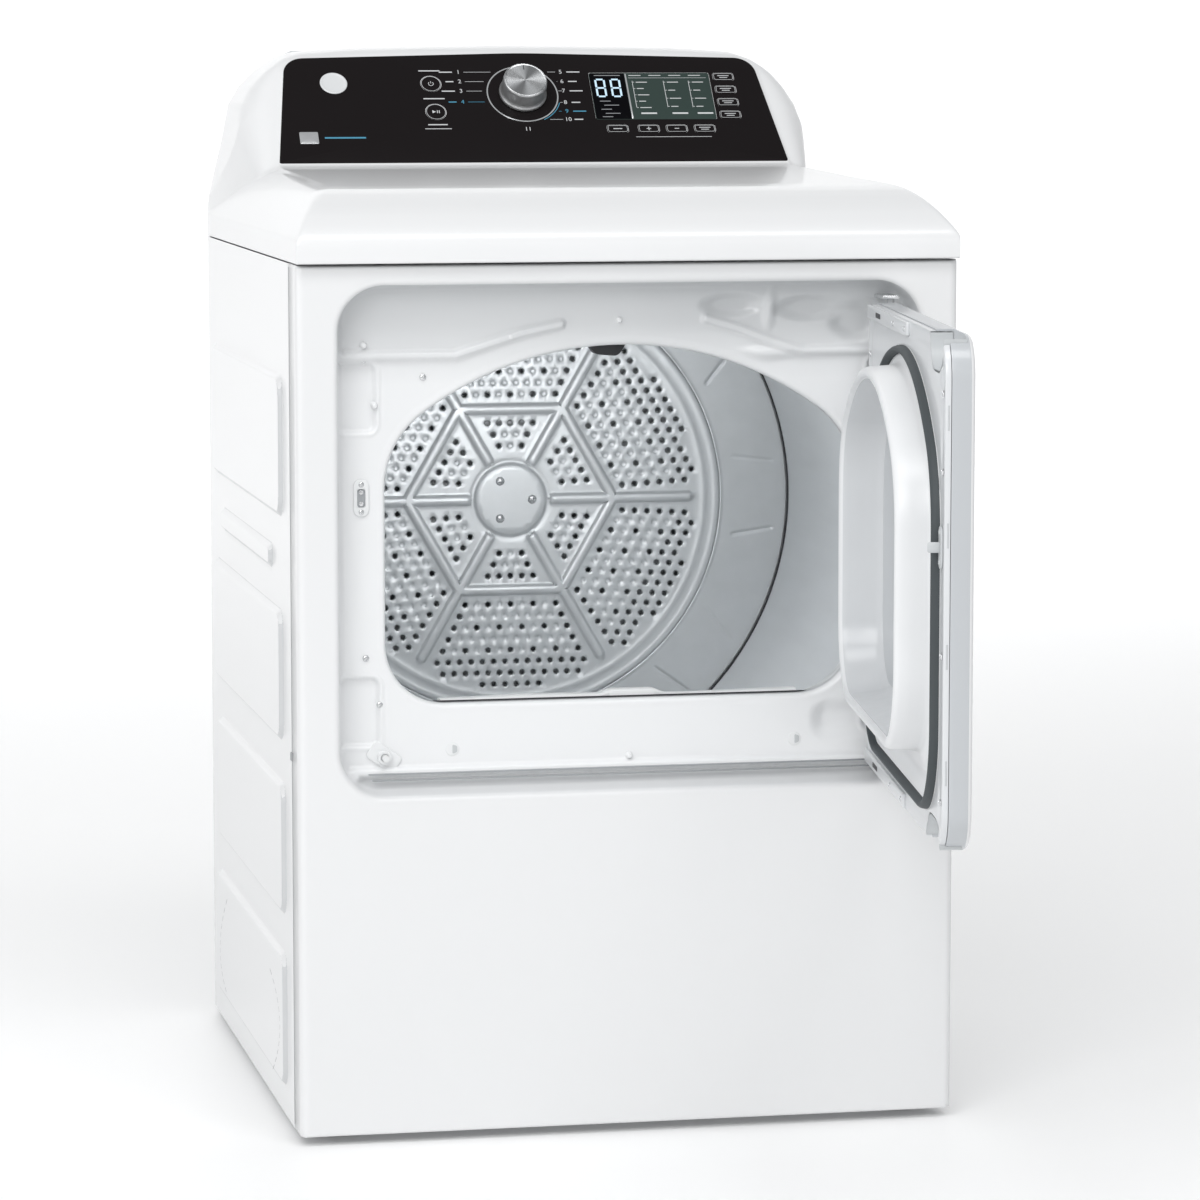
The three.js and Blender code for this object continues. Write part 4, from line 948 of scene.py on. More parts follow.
def console_back():
    """The console's rear sheet, following its outline, with a border bead, vent slots and screws."""
    z = np.linspace(901, 1108, 130)
    half = np.minimum(end_half_width(z) - 5, 338.4)
    across = np.linspace(-1, 1, 300)
    x = half[:, None] * across[None]
    height = np.broadcast_to(z[:, None], x.shape)
    edge = np.minimum(np.minimum(half[:, None] * (1 - np.abs(across[None])), height - 901), 1108 - height)
    lift = 1.8 * np.exp(-((edge - 15) / 3.0) ** 2)
    slots = [(column * 26, 1000 + 16 * row) for column in range(-8, 9) for row in range(3)]
    for px, pz in slots:
        hood = np.where(height > pz, 1 - smooth_step(height - pz, 1, 8), 0)
        lift = np.maximum(lift, 3.2 * (1 - smooth_step(np.abs(x - px), 7, 10)) * hood)
    points = np.stack([x, DEPTH - 0.6 + lift, height], axis=-1).reshape(-1, 3)
    obj = piece("console_back_sheet", points, grid(len(z), len(across)), GALVANISED, "cabinet",
                slot="galvanised", replaces=["console_rear_cover"], sharp=50)
    thicken(obj, 1.0)
    mouths = [box(px - 7.5, px + 7.5, DEPTH, DEPTH + 2.2, pz - 1.2, pz + 0.2, 0.3) for px, pz in slots]
    piece("console_vent_mouths", *joined(*mouths), DARK_PLASTIC, "cabinet", slot="dark_plastic")
    places = [(px, 910, DEPTH - 0.2, 3.6, 1) for px in (-322, -110, 110, 322)]
    places += [(px, 1098, DEPTH - 0.2, 3.6, 1) for px in (-228, 0, 228)]
    screws("console_back_screws", places, STEEL, "cabinet", slot="steel")


def feet():
    """Levelling feet: a round pad, a low hexagon and a threaded stem."""
    for name in ("front_left_foot", "front_right_foot", "rear_left_foot", "rear_right_foot"):
        low, high = (corner * 1000 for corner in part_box(name))
        x, y = (low.x + high.x) / 2, (low.y + high.y) / 2 - FRONT_Y
        pad = soft_profile([(0, 0), (17.5, 0), (19, 1.6), (19, 4), (14, 6.4), (0, 6.4)], 1)
        pad = turned(pad, (x, y), "z", 48)
        nut_ring = np.array([(x + 12 * math.cos(a), y + 12 * math.sin(a))
                             for a in np.linspace(0, 2 * math.pi, 6, endpoint=False)])
        nut = prism(nut_ring, 4.4, 6.8, 0.4, at_z, 3)
        thread = [(0, 6)]
        for turn in range(23):
            thread += [(5.2, 6.6 + turn * 1.5), (5.9, 7.35 + turn * 1.5)]
        thread += [(5.2, 41.4), (0, 41.6)]
        stem = turned(thread, (x, y), "z", 32)
        piece(name + "_detail", *joined(pad, nut, stem), DARK_PLASTIC, name, slot="dark_plastic",
              replaces=[name])


# ---------------------------------------------------------------- drum front support and air path
BULKHEAD_RING = 480


def bulkhead():
    """The throat behind the opening, and the wall and collar that carry the drum's front edge."""
    centre, count = (0, DRUM_Z), BULKHEAD_RING
    rings = []
    for grow, y in ((4.4, LIP_END + 0.4), (4.4, 66), (4.4, THROAT_BACK - 3), (6, THROAT_BACK - 0.5),
                    (9, THROAT_BACK + 0.2)):
        rings.append(at_y(around(arch(OPENING, grow), centre, count), y))
    for radius, y in ((317, THROAT_BACK + 0.3), (320, THROAT_BACK + 2), (321, THROAT_BACK + 6), (321, 103.5)):
        rings.append(at_y(around(circle(0, DRUM_Z, radius, count), centre, count), y))
    points, faces = lofted(rings)
    obj = piece("bulkhead_sheet", points, faces, LINER, "cabinet", slot="cabinet_white",
                replaces=["front_bulkhead"], sharp=50)
    thicken(obj, 1.4, -1.0)
    low = OPENING["bottom"]
    carve(obj, [box(LINT_X[0] - 0.6, LINT_X[1] + 0.6, 55.6, 79.2, low - 20, low + 6, 0.5)])


def lamp_lens():
    """The drum lamp's smoked half-round lens, hanging from the top of the throat."""
    ring = rounded([(-31, 813, 0), (-31, 811, 2), (-24, 801, 8), (0, 799, 8), (8, 811, 2), (8, 813, 0)], 0.6)
    piece("drum_lamp_lens", *prism(ring, 64, 82, 1.2, step=1.5), DARK_PLASTIC, "cabinet", slot="dark_plastic")


def lint_screen():
    """The lint filter: a framed screen, and a handle bar with a wavy finger grip along the sill."""
    low, high = (corner * 1000 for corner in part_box("lint_filter"))
    front, back = low.y - FRONT_Y, high.y - FRONT_Y
    bar_front, bar_back = 56.5, 78.5
    top = OPENING["bottom"] - 3
    x = np.linspace(LINT_X[0] + 2, LINT_X[1] - 2, 161)
    grip = smooth_step(x, -24, -6) - smooth_step(x, 34, 52)
    wave = 1.1 * np.sin((x + 150) / 46) * (1 - grip)
    crest = top + 6.0 + wave + 4.5 * grip
    sections = []
    for i, px in enumerate(x):
        peak = crest[i]
        section = [(bar_front, top - 12), (bar_front, peak - 2.2), (bar_front + 1.4, peak - 0.5),
                   (bar_front + 4, peak), (bar_back - 4, peak - 0.6), (bar_back - 1.2, peak - 1.6),
                   (bar_back, peak - 3.4), (bar_back, top - 12)]
        sections.append(np.array([(px, py, pz) for py, pz in section]))
    bar = lofted(sections, True, True)
    frame_bars = [box(LINT_X[0] + 2, LINT_X[1] - 2, front + 2, back - 2, low.z, low.z + 12),
                  box(LINT_X[0] + 2, LINT_X[0] + 14, front + 2, back - 2, low.z, top - 11),
                  box(LINT_X[1] - 14, LINT_X[1] - 2, front + 2, back - 2, low.z, top - 11),
                  box(-4, 4, front + 2, back - 2, low.z, top - 11)]
    piece("lint_filter_frame", *joined(bar, *frame_bars), WHITE_PLASTIC, "lint_filter", slot="white_plastic",
          replaces=["lint_filter"])
    gap = box(LINT_X[0] - 8, LINT_X[1] + 30, 54.4, 56.2, top + 1.4, top + 4.4, 0.3)
    piece("lint_gap_line", *gap, DARK_PLASTIC, "cabinet", slot="dark_plastic")
    middle = (front + back) / 2
    wires = []
    for px in np.arange(LINT_X[0] + 16, LINT_X[1] - 14, 9.0):
        wires.append(box(px, px + 0.7, middle - 0.3, middle + 0.3, low.z + 10, top - 11, 0.2))
    for pz in np.arange(low.z + 14, top - 14, 9.0):
        wires.append(box(LINT_X[0] + 13, LINT_X[1] - 13, middle + 0.3, middle + 0.9, pz, pz + 0.7, 0.2))
    piece("lint_filter_mesh", *joined(*wires), STEEL, "lint_filter", slot="white_plastic")


# ---------------------------------------------------------------- drum
SPOKES = 6
HUB_R = 42
VERTEX_R = 121
SPOKE_END = 214
BEAD_R = (229, 243)
HOLE_R = 3.1
HOLE_PITCH = 13.3
BAND_INNER = 248
CREASES = 18


def hole_places():
    """Centres of the rear head's holes: two groups of rows in each of six sectors."""
    rows = [(62.2 + 13.2 * i, 3 + i) for i in range(3)]
    rows += [(121.5 + HOLE_PITCH * i, 9 + i) for i in range(6)]
    rows += [(121.5 + HOLE_PITCH * 6, 13), (121.5 + HOLE_PITCH * 7, 6)]
    places, through = [], []
    for sector in range(SPOKES):
        angle = math.radians(30 + 60 * sector)
        out = np.array((math.cos(angle), math.sin(angle)))
        along = np.array((-out[1], out[0]))
        for row, (distance, count) in enumerate(rows):
            for i in range(count):
                places.append(out * distance + along * (i - (count - 1) / 2) * HOLE_PITCH)
                end = i in (0, count - 1)
                through.append(end or row in (2, 8, 9, 10) or (row in (3, 5, 7) and i % 2 == 0))
    return np.array(places), through


def rib_paths():
    """The pressed ribs of the rear head: six spokes and the hexagon that crosses them."""
    paths = []
    for spoke in range(SPOKES):
        angle = math.radians(60 * spoke)
        ahead = math.radians(60 * (spoke + 1))
        way = np.array((math.cos(angle), math.sin(angle)))
        paths.append((way * (HUB_R + 6), way * (SPOKE_END - 4)))
        paths.append((way * VERTEX_R, np.array((math.cos(ahead), math.sin(ahead))) * VERTEX_R))
    return paths


def head_relief(x, z, holes):
    """How far each point of the rear head stands towards the front."""
    radius = np.hypot(x, z)
    ribs = np.full(np.shape(x), 1e9)
    for a, b in rib_paths():
        ribs = np.minimum(ribs, line_distance(x, z, (a, b)))
    lift = 4.2 * (1 - smooth_step(ribs, 2.4, 6.8))
    lift = np.where(radius < HUB_R + 8, lift * smooth_step(radius, HUB_R + 2, HUB_R + 8), lift)
    hub = 3.0 * (1 - smooth_step(radius, HUB_R - 3, HUB_R))
    lift = lift + hub - 1.2 * np.exp(-((radius - HUB_R - 2.5) / 2) ** 2)
    for bead in BEAD_R:
        lift = lift + 1.6 * np.exp(-((radius - bead) / 2.6) ** 2)
    if len(holes):
        near = np.full(np.shape(x), 1e9)
        for hx, hz in holes:
            near = np.minimum(near, np.hypot(x - hx, z - hz))
        lift = lift - 1.5 * (1 - smooth_step(near, HOLE_R - 0.9, HOLE_R + 1.4))
        lift = lift + 0.35 * np.exp(-((near - HOLE_R - 1.9) / 0.7) ** 2)
    return lift


def crease_relief(x, z):
    """Short slanted stiffening creases round the outer band of the rear head."""
    lift = np.zeros(np.shape(x))
    for index in range(CREASES):
        angle = 2 * math.pi * (index + 0.5) / CREASES
        lean = math.radians(2.8 if index % 2 else -2.8)
        a = (268 * math.cos(angle), 262 * math.sin(angle))
        b = (312 * math.cos(angle + lean), 312 * math.sin(angle + lean))
        d = line_distance(x, z, (a, b))
        lift = lift - (1.6 if index % 2 else 0.9) * np.exp(-(d / 1.7) ** 2)
    return lift


def rear_head():
    """The drum's pressed and perforated back: the open holes cut through, the others pressed as blind
    dimples.
    """
    holes, through = hole_places()
    points, edges = [], []

    def add_ring(ring):
        """A closed ring of points, with the edges that the triangles must keep."""
        start = len(points)
        points.extend(Vector(p) for p in ring)
        count = len(ring)
        edges.extend((start + i, start + (i + 1) % count) for i in range(count))

    for radius, count in ((BAND_INNER, 360), (BEAD_R[1] + 2.4, 300), (BEAD_R[1], 300),
                          (BEAD_R[1] - 2.4, 300), (236, 240), (BEAD_R[0] + 2.4, 240), (BEAD_R[0], 240),
                          (BEAD_R[0] - 2.4, 240), (HUB_R + 5, 90), (HUB_R + 2.5, 90), (HUB_R, 90),
                          (HUB_R - 1.5, 90), (HUB_R - 3.2, 90)):
        add_ring(circle(0, 0, radius, count))
    for (hx, hz), open_hole in zip(holes, through):
        add_ring(circle(hx, hz, HOLE_R, 14))
        add_ring(circle(hx, hz, HOLE_R + 1.6, 14))
        if not open_hole:
            add_ring(circle(hx, hz, HOLE_R - 1.1, 10))
            points.append(Vector((hx, hz)))
    add_filler(points, holes)
    vertices, _, faces, *_ = delaunay_2d_cdt(points, edges, [], 1, 1e-4)
    flat = np.array([(v.x, v.y) for v in vertices])
    middles = np.array([flat[list(face)].mean(axis=0) for face in faces])
    keep = np.ones(len(faces), bool)
    for (hx, hz), open_hole in zip(holes, through):
        if open_hole:
            keep &= np.hypot(middles[:, 0] - hx, middles[:, 1] - hz) > HOLE_R * 0.96
    faces = [face for face, kept in zip(faces, keep) if kept]
    x, z = flat[:, 0], flat[:, 1]
    lift = head_relief(x, z, holes)
    head = np.stack([x, HEAD_Y - lift, z + DRUM_Z], axis=1)
    head, faces = joined((head, faces), head_band())
    obj = piece("drum_rear_head_perforated", head, faces, HEAD, "drum", slot="drum_metal",
                replaces=["drum_rear_head"], sharp=55)
    thicken(obj, 0.8, -1.0)
    screws("drum_hub_screws", [(25 * math.cos(a), DRUM_Z + 25 * math.sin(a), HEAD_Y - 3.0, 5.4)
                               for a in np.radians((0, 120, 240))], STEEL, "drum", slot="steel")


def head_band():
    """The rear head's plain outer band, dished back to the barrel, with its pressed creases."""
    radii = np.concatenate([np.linspace(BAND_INNER, 262, 8), np.linspace(264, DRUM_R - 3.4, 34)])
    angle = np.linspace(0, 2 * math.pi, 1200, endpoint=False)
    rings = []
    for radius in radii:
        x, z = radius * np.cos(angle), radius * np.sin(angle)
        bead = 1.6 * np.exp(-((radius - BEAD_R[1]) / 2.6) ** 2)
        lift = bead - 1.2 * smooth_step(np.array(radius), BAND_INNER, 252)
        lift = lift + crease_relief(x, z)
        rings.append(np.stack([x, HEAD_Y - lift, DRUM_Z + z], axis=1))
    return lofted(rings)


def add_filler(points, holes):
    """Extra points along the ribs and in a grid over the rest of the head, so that the pressed shapes stay
    smooth.
    """
    def clear(p):
        """Whether a point keeps off every hole."""
        return np.min(np.hypot(holes[:, 0] - p[0], holes[:, 1] - p[1])) > HOLE_R + 2.6

    for a, b in rib_paths():
        way = b - a
        length = np.linalg.norm(way)
        way = way / length
        across = np.array((-way[1], way[0]))
        for side in (-7.2, -5.6, -4.2, -2.4, 0, 2.4, 4.2, 5.6, 7.2):
            for t in np.arange(-6, length + 6, 2.4):
                p = a + way * t + across * side
                if np.hypot(*p) > HUB_R + 3.5 and clear(p):
                    points.append(Vector(p))
    ribs = rib_paths()
    for row, z in enumerate(np.arange(-226, 227, 5.0)):
        for x in np.arange(-226 + 2.5 * (row % 2), 227, 5.4):
            p = np.array((x, z))
            radius = np.hypot(*p)
            if radius > BEAD_R[0] - 5 or abs(radius - HUB_R) < 6 or not clear(p):
                continue
            if min(line_distance(p[0], p[1], rib) for rib in ribs) > 8.4 or radius < HUB_R - 4:
                points.append(Vector(p))


def drum_shell():
    """The drum's barrel, with a rolled front edge and the joint to the rear head."""
    profile = [(DRUM_R - 2.6, DRUM_FRONT + 3), (DRUM_R - 1.2, DRUM_FRONT + 0.6), (DRUM_R, DRUM_FRONT + 1.4),
               (DRUM_R, 332)]
    profile += [(DRUM_R, 336), (DRUM_R, 660), (DRUM_R - 0.4, 667.4), (DRUM_R - 2, 668), (DRUM_R - 2, 664)]
    profile += [(DRUM_R - 2, y) for y in (600, 400, 200)] + [(DRUM_R - 2.6, DRUM_FRONT + 3)]
    piece("drum_barrel", *turned(profile, (0, DRUM_Z), count=288), SHELL, "drum", slot="drum_metal",
          replaces=["drum_shell"], sharp=35)
    joint = turned([(DRUM_R - 2.2, HEAD_Y - 3.4), (DRUM_R - 3.2, HEAD_Y - 3.4), (DRUM_R - 3.2, HEAD_Y - 0.8),
                    (DRUM_R - 2.2, HEAD_Y - 0.8)], (0, DRUM_Z), count=288)
    piece("drum_joint_line", *joint, DARK_PLASTIC, "drum", slot="dark_plastic")
    seam = box(-1.2, 1.2, DRUM_FRONT + 10, HEAD_Y - 16, -0.6, 0.6, 0.3)
    points = seam[0].copy()
    angle = math.radians(110)
    across, out = points[:, 0].copy(), points[:, 2].copy() + DRUM_R - 2.4
    points[:, 0] = out * math.cos(angle) - across * math.sin(angle)
    points[:, 2] = DRUM_Z + out * math.sin(angle) + across * math.cos(angle)
    piece("drum_seam", points, seam[1], SHELL, "drum", slot="drum_metal")


def lifters():
    """Three soft-edged lifters, narrower and lower at their front ends."""
    base = DRUM_R - 3.4
    for index, degrees in enumerate((60, 180, 300)):
        angle = math.radians(degrees)
        sections = []
        for y in np.concatenate([[115, 115.6, 118, 123], np.linspace(130, 610, 24), [617, 622, 624.4, 625]]):
            end = min(y - 115, 625 - y)
            size = math.sqrt(max(0.02, 1 - (1 - min(end, 10) / 10) ** 2))
            tall = 46 * (0.35 + 0.65 * size)
            t = np.linspace(-1, 1, 25)
            crown = (1 - np.abs(t) ** 2.2) ** 0.9
            across = 29 * t * (0.6 + 0.4 * size) * (1 - 0.45 * crown ** 0.8)
            inward = base - tall * crown
            sections.append(np.stack([inward * math.cos(angle) - across * math.sin(angle), np.full(25, y),
                                      DRUM_Z + inward * math.sin(angle) + across * math.cos(angle)], axis=1))
        piece(f"lifter_{index + 1}_moulding", *lofted(sections, True, True), WHITE_PLASTIC, "drum",
              slot="white_plastic", replaces=[f"drum_lifter_{index + 1}"], sharp=60)


# ---------------------------------------------------------------- door
DOOR_CENTRE = (-HINGE[0], 615)


def door_ring(shape, grow):
    """An arch-shaped outline in the door's own millimetres."""
    return around(arch(shape, grow) - (HINGE[0], 0), DOOR_CENTRE, RING)


def door_outline(distance):
    """The door's outer edge, inset by distance."""
    ring = rectangle(DOOR["x0"] + distance, DOOR["x1"] - distance, DOOR["z0"] + distance,
                     DOOR["z1"] - distance, max(4, DOOR["radius"] - distance))
    return around(ring, DOOR_CENTRE, RING)


def door_pan():
    """The outer door skin: a crowned face with rounded edges, and the finger pocket."""
    rings = []
    for distance, y in ((2.2, 13.9), (0.2, 13.9), (0, 13.2), (0, 8), (0, -3)):
        rings.append(at_y(door_outline(distance), y))
    for t in np.linspace(0, math.pi / 2, 7)[1:]:
        rings.append(at_y(door_outline(5 * (1 - math.cos(t))), -3 - 5 * math.sin(t)))
    for distance in (12, 40, 100, 170):
        rings.append(at_y(door_outline(distance), -8))
    points, faces = lofted(rings, cap_first=True, cap_last=True)
    obj = piece("door_pan", points, faces, WHITE, "door", door_row, slot="cabinet_white",
                replaces=["door_outer_panel"])
    pocket = prism(rectangle(-552, -516, 530, 700, 11), -12, 5, 3)
    carve(obj, [pocket] + scoop_cutters(), door_row)
    # The pan's sides are grey: painted shade.
    obj.data.materials.append(DOOR_SIDE_PAINTED_SHADE)
    paint_pan_side_shade(obj)


def paint_pan_side_shade(obj):
    """The pan's sides take a grey that is painted shade on the white door; its face stays cabinet white."""
    outward = Vector((math.sin(DOOR_OPEN), -math.cos(DOOR_OPEN), 0))
    for polygon in obj.data.polygons:
        polygon.material_index = 1 if polygon.normal.dot(outward) < 0.35 else 0


def liner_relief(x, z):
    """Pressed shapes of the liner's flange, towards the cabinet."""
    outside = box_distance(x, z, DOOR["x0"], DOOR["x1"], DOOR["z0"], DOOR["z1"], DOOR["radius"])
    return -1.4 * (smooth_step(outside, -30, -24) - smooth_step(outside, -18, -12))


def liner_flange():
    """The liner's flat border out to the door's edge, with the finger scoops bitten out of it."""
    y0, back = DOOR["liner"], DOOR["liner"] - 3.4
    rings = [at_y(door_outline(d), y) for d, y in ((1.4, 14.4), (1.4, 18), (1.9, 19.4), (3.2, y0))]
    outer, inner = door_outline(3.2), door_ring(GASKET, 1)
    for t in np.linspace(0, 1, 14)[1:]:
        flat = outer * (1 - t) + inner * t
        rings.append(at_y(flat, y0 + liner_relief(flat[:, 0], flat[:, 1]) * (1 - t)))
    rings += [at_y(inner, back), at_y(door_outline(3.6), back), at_y(door_outline(3.6), 14.4)]
    obj = piece("door_liner_flange", *lofted(rings + rings[:1]), DOOR_FLANGE, "door", door_row,
                slot="liner_white", sharp=50)
    carve(obj, scoop_cutters(), door_row)
    scoop_walls()


def door_liner():
    """The moulded inner door: gasket channel, and the bowl with its thin rim."""
    y0, rim = DOOR["liner"], DOOR["liner"] + 36
    rings = []
    for grow, y in ((1.4, y0 - 0.2), (1, y0 - 1.2), (-9, y0 - 1.2), (-10, y0)):
        rings.append(at_y(door_ring(GASKET, grow), y))
    low, high = door_ring(GASKET, -10), door_ring(BOWL, 7)
    for t in np.linspace(0, 1, 8)[1:]:
        flat = low * (1 - t) + high * t
        drop = smooth_step(520 - flat[:, 1], 0, 70) * math.sin(math.pi * min(1, t * 1.05)) * 5.0
        rings.append(at_y(flat, y0 + 1.0 * t - drop))
    for grow, y in ((4, y0 + 2.0), (1.8, y0 + 4.5), (0.6, y0 + 9), (-0.4, y0 + 22), (-1.2, rim - 4),
                    (-2.2, rim - 1.4), (-4.0, rim - 0.2), (-5.6, rim), (-7.4, rim - 0.6), (-8.8, rim - 2.6)):
        rings.append(at_y(door_ring(BOWL, grow), y))
    first_inside = (len(rings) - 1) * RING
    for grow, y in ((-9.6, rim - 7), (-11.5, rim - 20), (-14, rim - 34), (-17, rim - 42), (-22, rim - 47),
                    (-32, rim - 50)):
        rings.append(at_y(door_ring(BOWL, grow), y))
    last = door_ring(BOWL, -32)
    for t in (0.25, 0.5, 0.75, 0.95):
        flat = last * (1 - t) + np.array(DOOR_CENTRE) * t
        rings.append(at_y(flat, rim - 50 - 1.5 * t))
    points, faces = lofted(rings, cap_last=True)
    obj = piece("door_liner_moulding", points, faces, DOOR_PLASTIC, "door", door_row, slot="liner_white",
                replaces=["door_liner"], sharp=50)
    # The bowl's inside takes a darker copy of the liner plastic: painted shade.
    obj.data.materials.append(BOWL_INSIDE_PAINTED_SHADE)
    for polygon in obj.data.polygons:
        polygon.material_index = 1 if min(polygon.vertices) >= first_inside else 0
    thicken(obj, 2.0, -1.0)


SCOOP = {"x": -498, "half": 46, "top_deep": 37, "bottom_deep": 29, "round": 33}


def scoop_ring(top, grow=0.0):
    """The outline of the finger scoop at the top or the bottom of the door's free side."""
    half = SCOOP["half"] + grow
    low, high = (DOOR["z1"] - SCOOP["top_deep"] - grow, DOOR["z1"] + 40) if top else (
        DOOR["z0"] - 40, DOOR["z0"] + SCOOP["bottom_deep"] + grow)
    return rectangle(SCOOP["x"] - half, SCOOP["x"] + half, low, high, SCOOP["round"])


def scoop_cutters():
    """Round-ended bites through the flange at the top and bottom of the door's free side."""
    return [prism(scoop_ring(top), -2, 40, 0.1) for top in (False, True)]


def scoop_walls():
    """Grey pockets lining the two bites in the liner's flange."""
    parts = []
    for top in (False, True):
        edge = even(scoop_ring(top, -0.3), 2)
        inside = (edge[:, 1] < DOOR["z1"] - 2) & (edge[:, 1] > DOOR["z0"] + 2)
        start = int(np.argmax(inside & ~np.roll(inside, 1)))
        edge = np.roll(edge, -start, axis=0)[:int(inside.sum())]
        ring = np.concatenate([edge, inset(edge, 1.4)[::-1]])
        points = np.concatenate([at_y(ring, -1.6), at_y(ring, 19.6)])
        parts.append((points, grid(2, len(ring), wrap=True)))
    piece("door_scoop_walls", *joined(*parts), GREY_PLASTIC, "door", door_row, slot="grey_plastic")


def door_gasket():
    """The rubber seal: a round-topped strip in its channel."""
    y0 = DOOR["liner"]
    profile = [(0, y0 - 1.0), (0.3, y0 + 3.4), (1.2, y0 + 6.2), (2.6, y0 + 8.0), (4.2, y0 + 8.6),
               (5.8, y0 + 8.0), (7.0, y0 + 6.2), (7.7, y0 + 3.4), (8, y0 - 1.0)]
    rings = [at_y(door_ring(GASKET, -d), y) for d, y in profile]
    piece("door_seal", *lofted(rings + rings[:1]), RUBBER, "door", door_row, slot="rubber",
          replaces=["door_gasket"], sharp=70)


def door_clips():
    """Dark clip slots, screws and the strike plate on the door's free edge."""
    slots = [box(-559.4, -556, 15.6, 17.6, z - 12, z + 12, 0.6) for z in (452, 560, 672, 780)]
    piece("door_clip_slots", *joined(*slots), GREY_PLASTIC, "door", door_row, slot="grey_plastic")
    places = [(x, z, DOOR["liner"] + 0.2, 3.6, 1) for x in (-551, -4) for z in (424, 560, 730, 802)]
    screws("door_screws", places, CHROME, "door", to_row=door_row, slot="steel")
    x, z = CATCH[0] - HINGE[0], CATCH[1]
    y0 = DOOR["liner"] + 0.2
    plate = prism(rectangle(x - 9, x + 9, z - 20, z + 20, 8.5), y0, y0 + 2, 0.7)
    tongue = box(x - 2.2, x + 2.2, y0 + 1, y0 + 13.2, z - 5, z + 5, 1.8)
    heads = [screw(x, z + d, y0 + 1.6, 3.0, 1) for d in (14, -14)]
    piece("strike_detail", *joined(plate, tongue, *heads), GREY_PLASTIC, "door", door_row,
          slot="white_plastic", replaces=["door_strike"])


def hinge_arms():
    """The two hinge straps screwed along the liner's flange, each with its dark adjusting slot."""
    y0 = DOOR["liner"] - 0.8
    straps, slots, heads = [], [], []
    for z in (845, 385):
        straps.append(box(-300, 12, y0, y0 + 3.4, z - 7, z + 7, 1.4))
        slots.append(box(-96, -60, y0 + 3.0, y0 + 3.7, z - 2.6, z + 2.6, 0.3))
        heads += [(-284, z, y0 + 3.2, 3.0, 1), (-200, z, y0 + 3.2, 3.0, 1)]
    piece("hinge_straps", *joined(*straps), DOOR_FLANGE, "door", door_row, slot="grey_plastic")
    piece("hinge_strap_slots", *joined(*slots), DARK_PLASTIC, "door", door_row, slot="grey_plastic")
    screws("hinge_strap_screws", heads, CHROME, "door", to_row=door_row, slot="steel")


def hinge_fittings():
    """The folded hinge brackets."""
    for name, z0, z1 in (("upper_hinge_bracket", 858, 862), ("lower_hinge_bracket", 368, 372)):
        above = z0 > 600
        arm = box(HINGE[0] - 10.6, HINGE[0] + 7.6, -4.6, 39.6, z0, z1, 1.0)
        low, high = (z0 - 11.5, z1) if above else (z0, z1 + 11.5)
        foot = box(HINGE[0] - 10.6, HINGE[0] + 7.6, 36.8, 39.6, low, high, 1.0)
        piece(name + "_fold", *joined(arm, foot), CHROME, "cabinet", slot="steel", replaces=[name])


# ---------------------------------------------------------------- worktop and console
# The worktop's front edge and deck down the middle, as depth and height.
CREST = [(-8, 899.6), (-8, 908), (-8, 917), (-7.2, 923), (-4, 929), (3, 935), (12, 941), (24, 948.5),
         (38, 955.5), (54, 962), (72, 967.5), (92, 971), (120, 972.8), (180, 974.6), (300, 977.6),
         (440, 981.2)]
SLOPE_START = (486, 982.2)
# The console's end outline, as half-width and height.
END_PROFILE = [(343, 880), (343, 925), (341, 945), (334, 975), (326, 1007), (318, 1048), (306, 1068),
               (293, 1082), (270, 1100), (249, 1109), (180, 1114), (0, 1118)]
CONSOLE_TOP = 1117.9
# How far back the console's own cross-sections start.
CONSOLE_START = 492


def smooth_min(a, b, reach):
    """The lower of two values, blended where they are within reach of each other."""
    h = np.clip(0.5 + 0.5 * (b - a) / reach, 0, 1)
    return b * (1 - h) + a * h - reach * h * (1 - h)


def smooth_max(a, b, reach):
    """The higher of two values, blended where they are within reach of each other."""
    return -smooth_min(-np.asarray(a), -np.asarray(b), reach)


def curve_through(points, count):
    """A smooth curve through points, evenly stepped."""
    points = np.array(points, float)
    length = np.concatenate([[0], np.cumsum(np.linalg.norm(np.diff(points, axis=0), axis=1))])
    at = np.linspace(0, length[-1], count)
    result = np.stack([np.interp(at, length, points[:, i]) for i in range(2)], axis=1)
    for _ in range(6):
        result[1:-1] = (result[:-2] + 2 * result[1:-1] + result[2:]) / 4
    return result


def centre_profile():
    """The side view down the middle: lip, crest, top, then the console's slope, crown and back."""
    slope_y, slope_z = FASCIA_ORIGIN[1], FASCIA_ORIGIN[2]
    rise = math.tan(FASCIA_SLOPE)
    points = CREST + [SLOPE_START, (493, 982.4), (slope_y - 2, slope_z - 2 * rise)]
    points += [(slope_y + d, slope_z + d * rise) for d in (0, 20, 40, 60, 80, 100, 106)]
    points += [(614, 1110.5), (624, 1114.5), (640, 1117), (665, 1117.6), (684, 1116.6), (693, 1114),
               (699, 1108.5), (702, 1101), (702, 1092)]
    return curve_through(points, 420)


def end_half_width(z):
    """Half-width of the console's end outline at height z."""
    profile = np.array(END_PROFILE)
    return np.interp(z, profile[:, 1], profile[:, 0])


def console_plan(y):
    """Half-width of the console in plan: round-shouldered at the front, full at the back."""
    return np.interp(y, (470, 500, 520, 560, 600, 640, 680, 702), (306, 309, 313, 322, 330, 336, 340, 342))


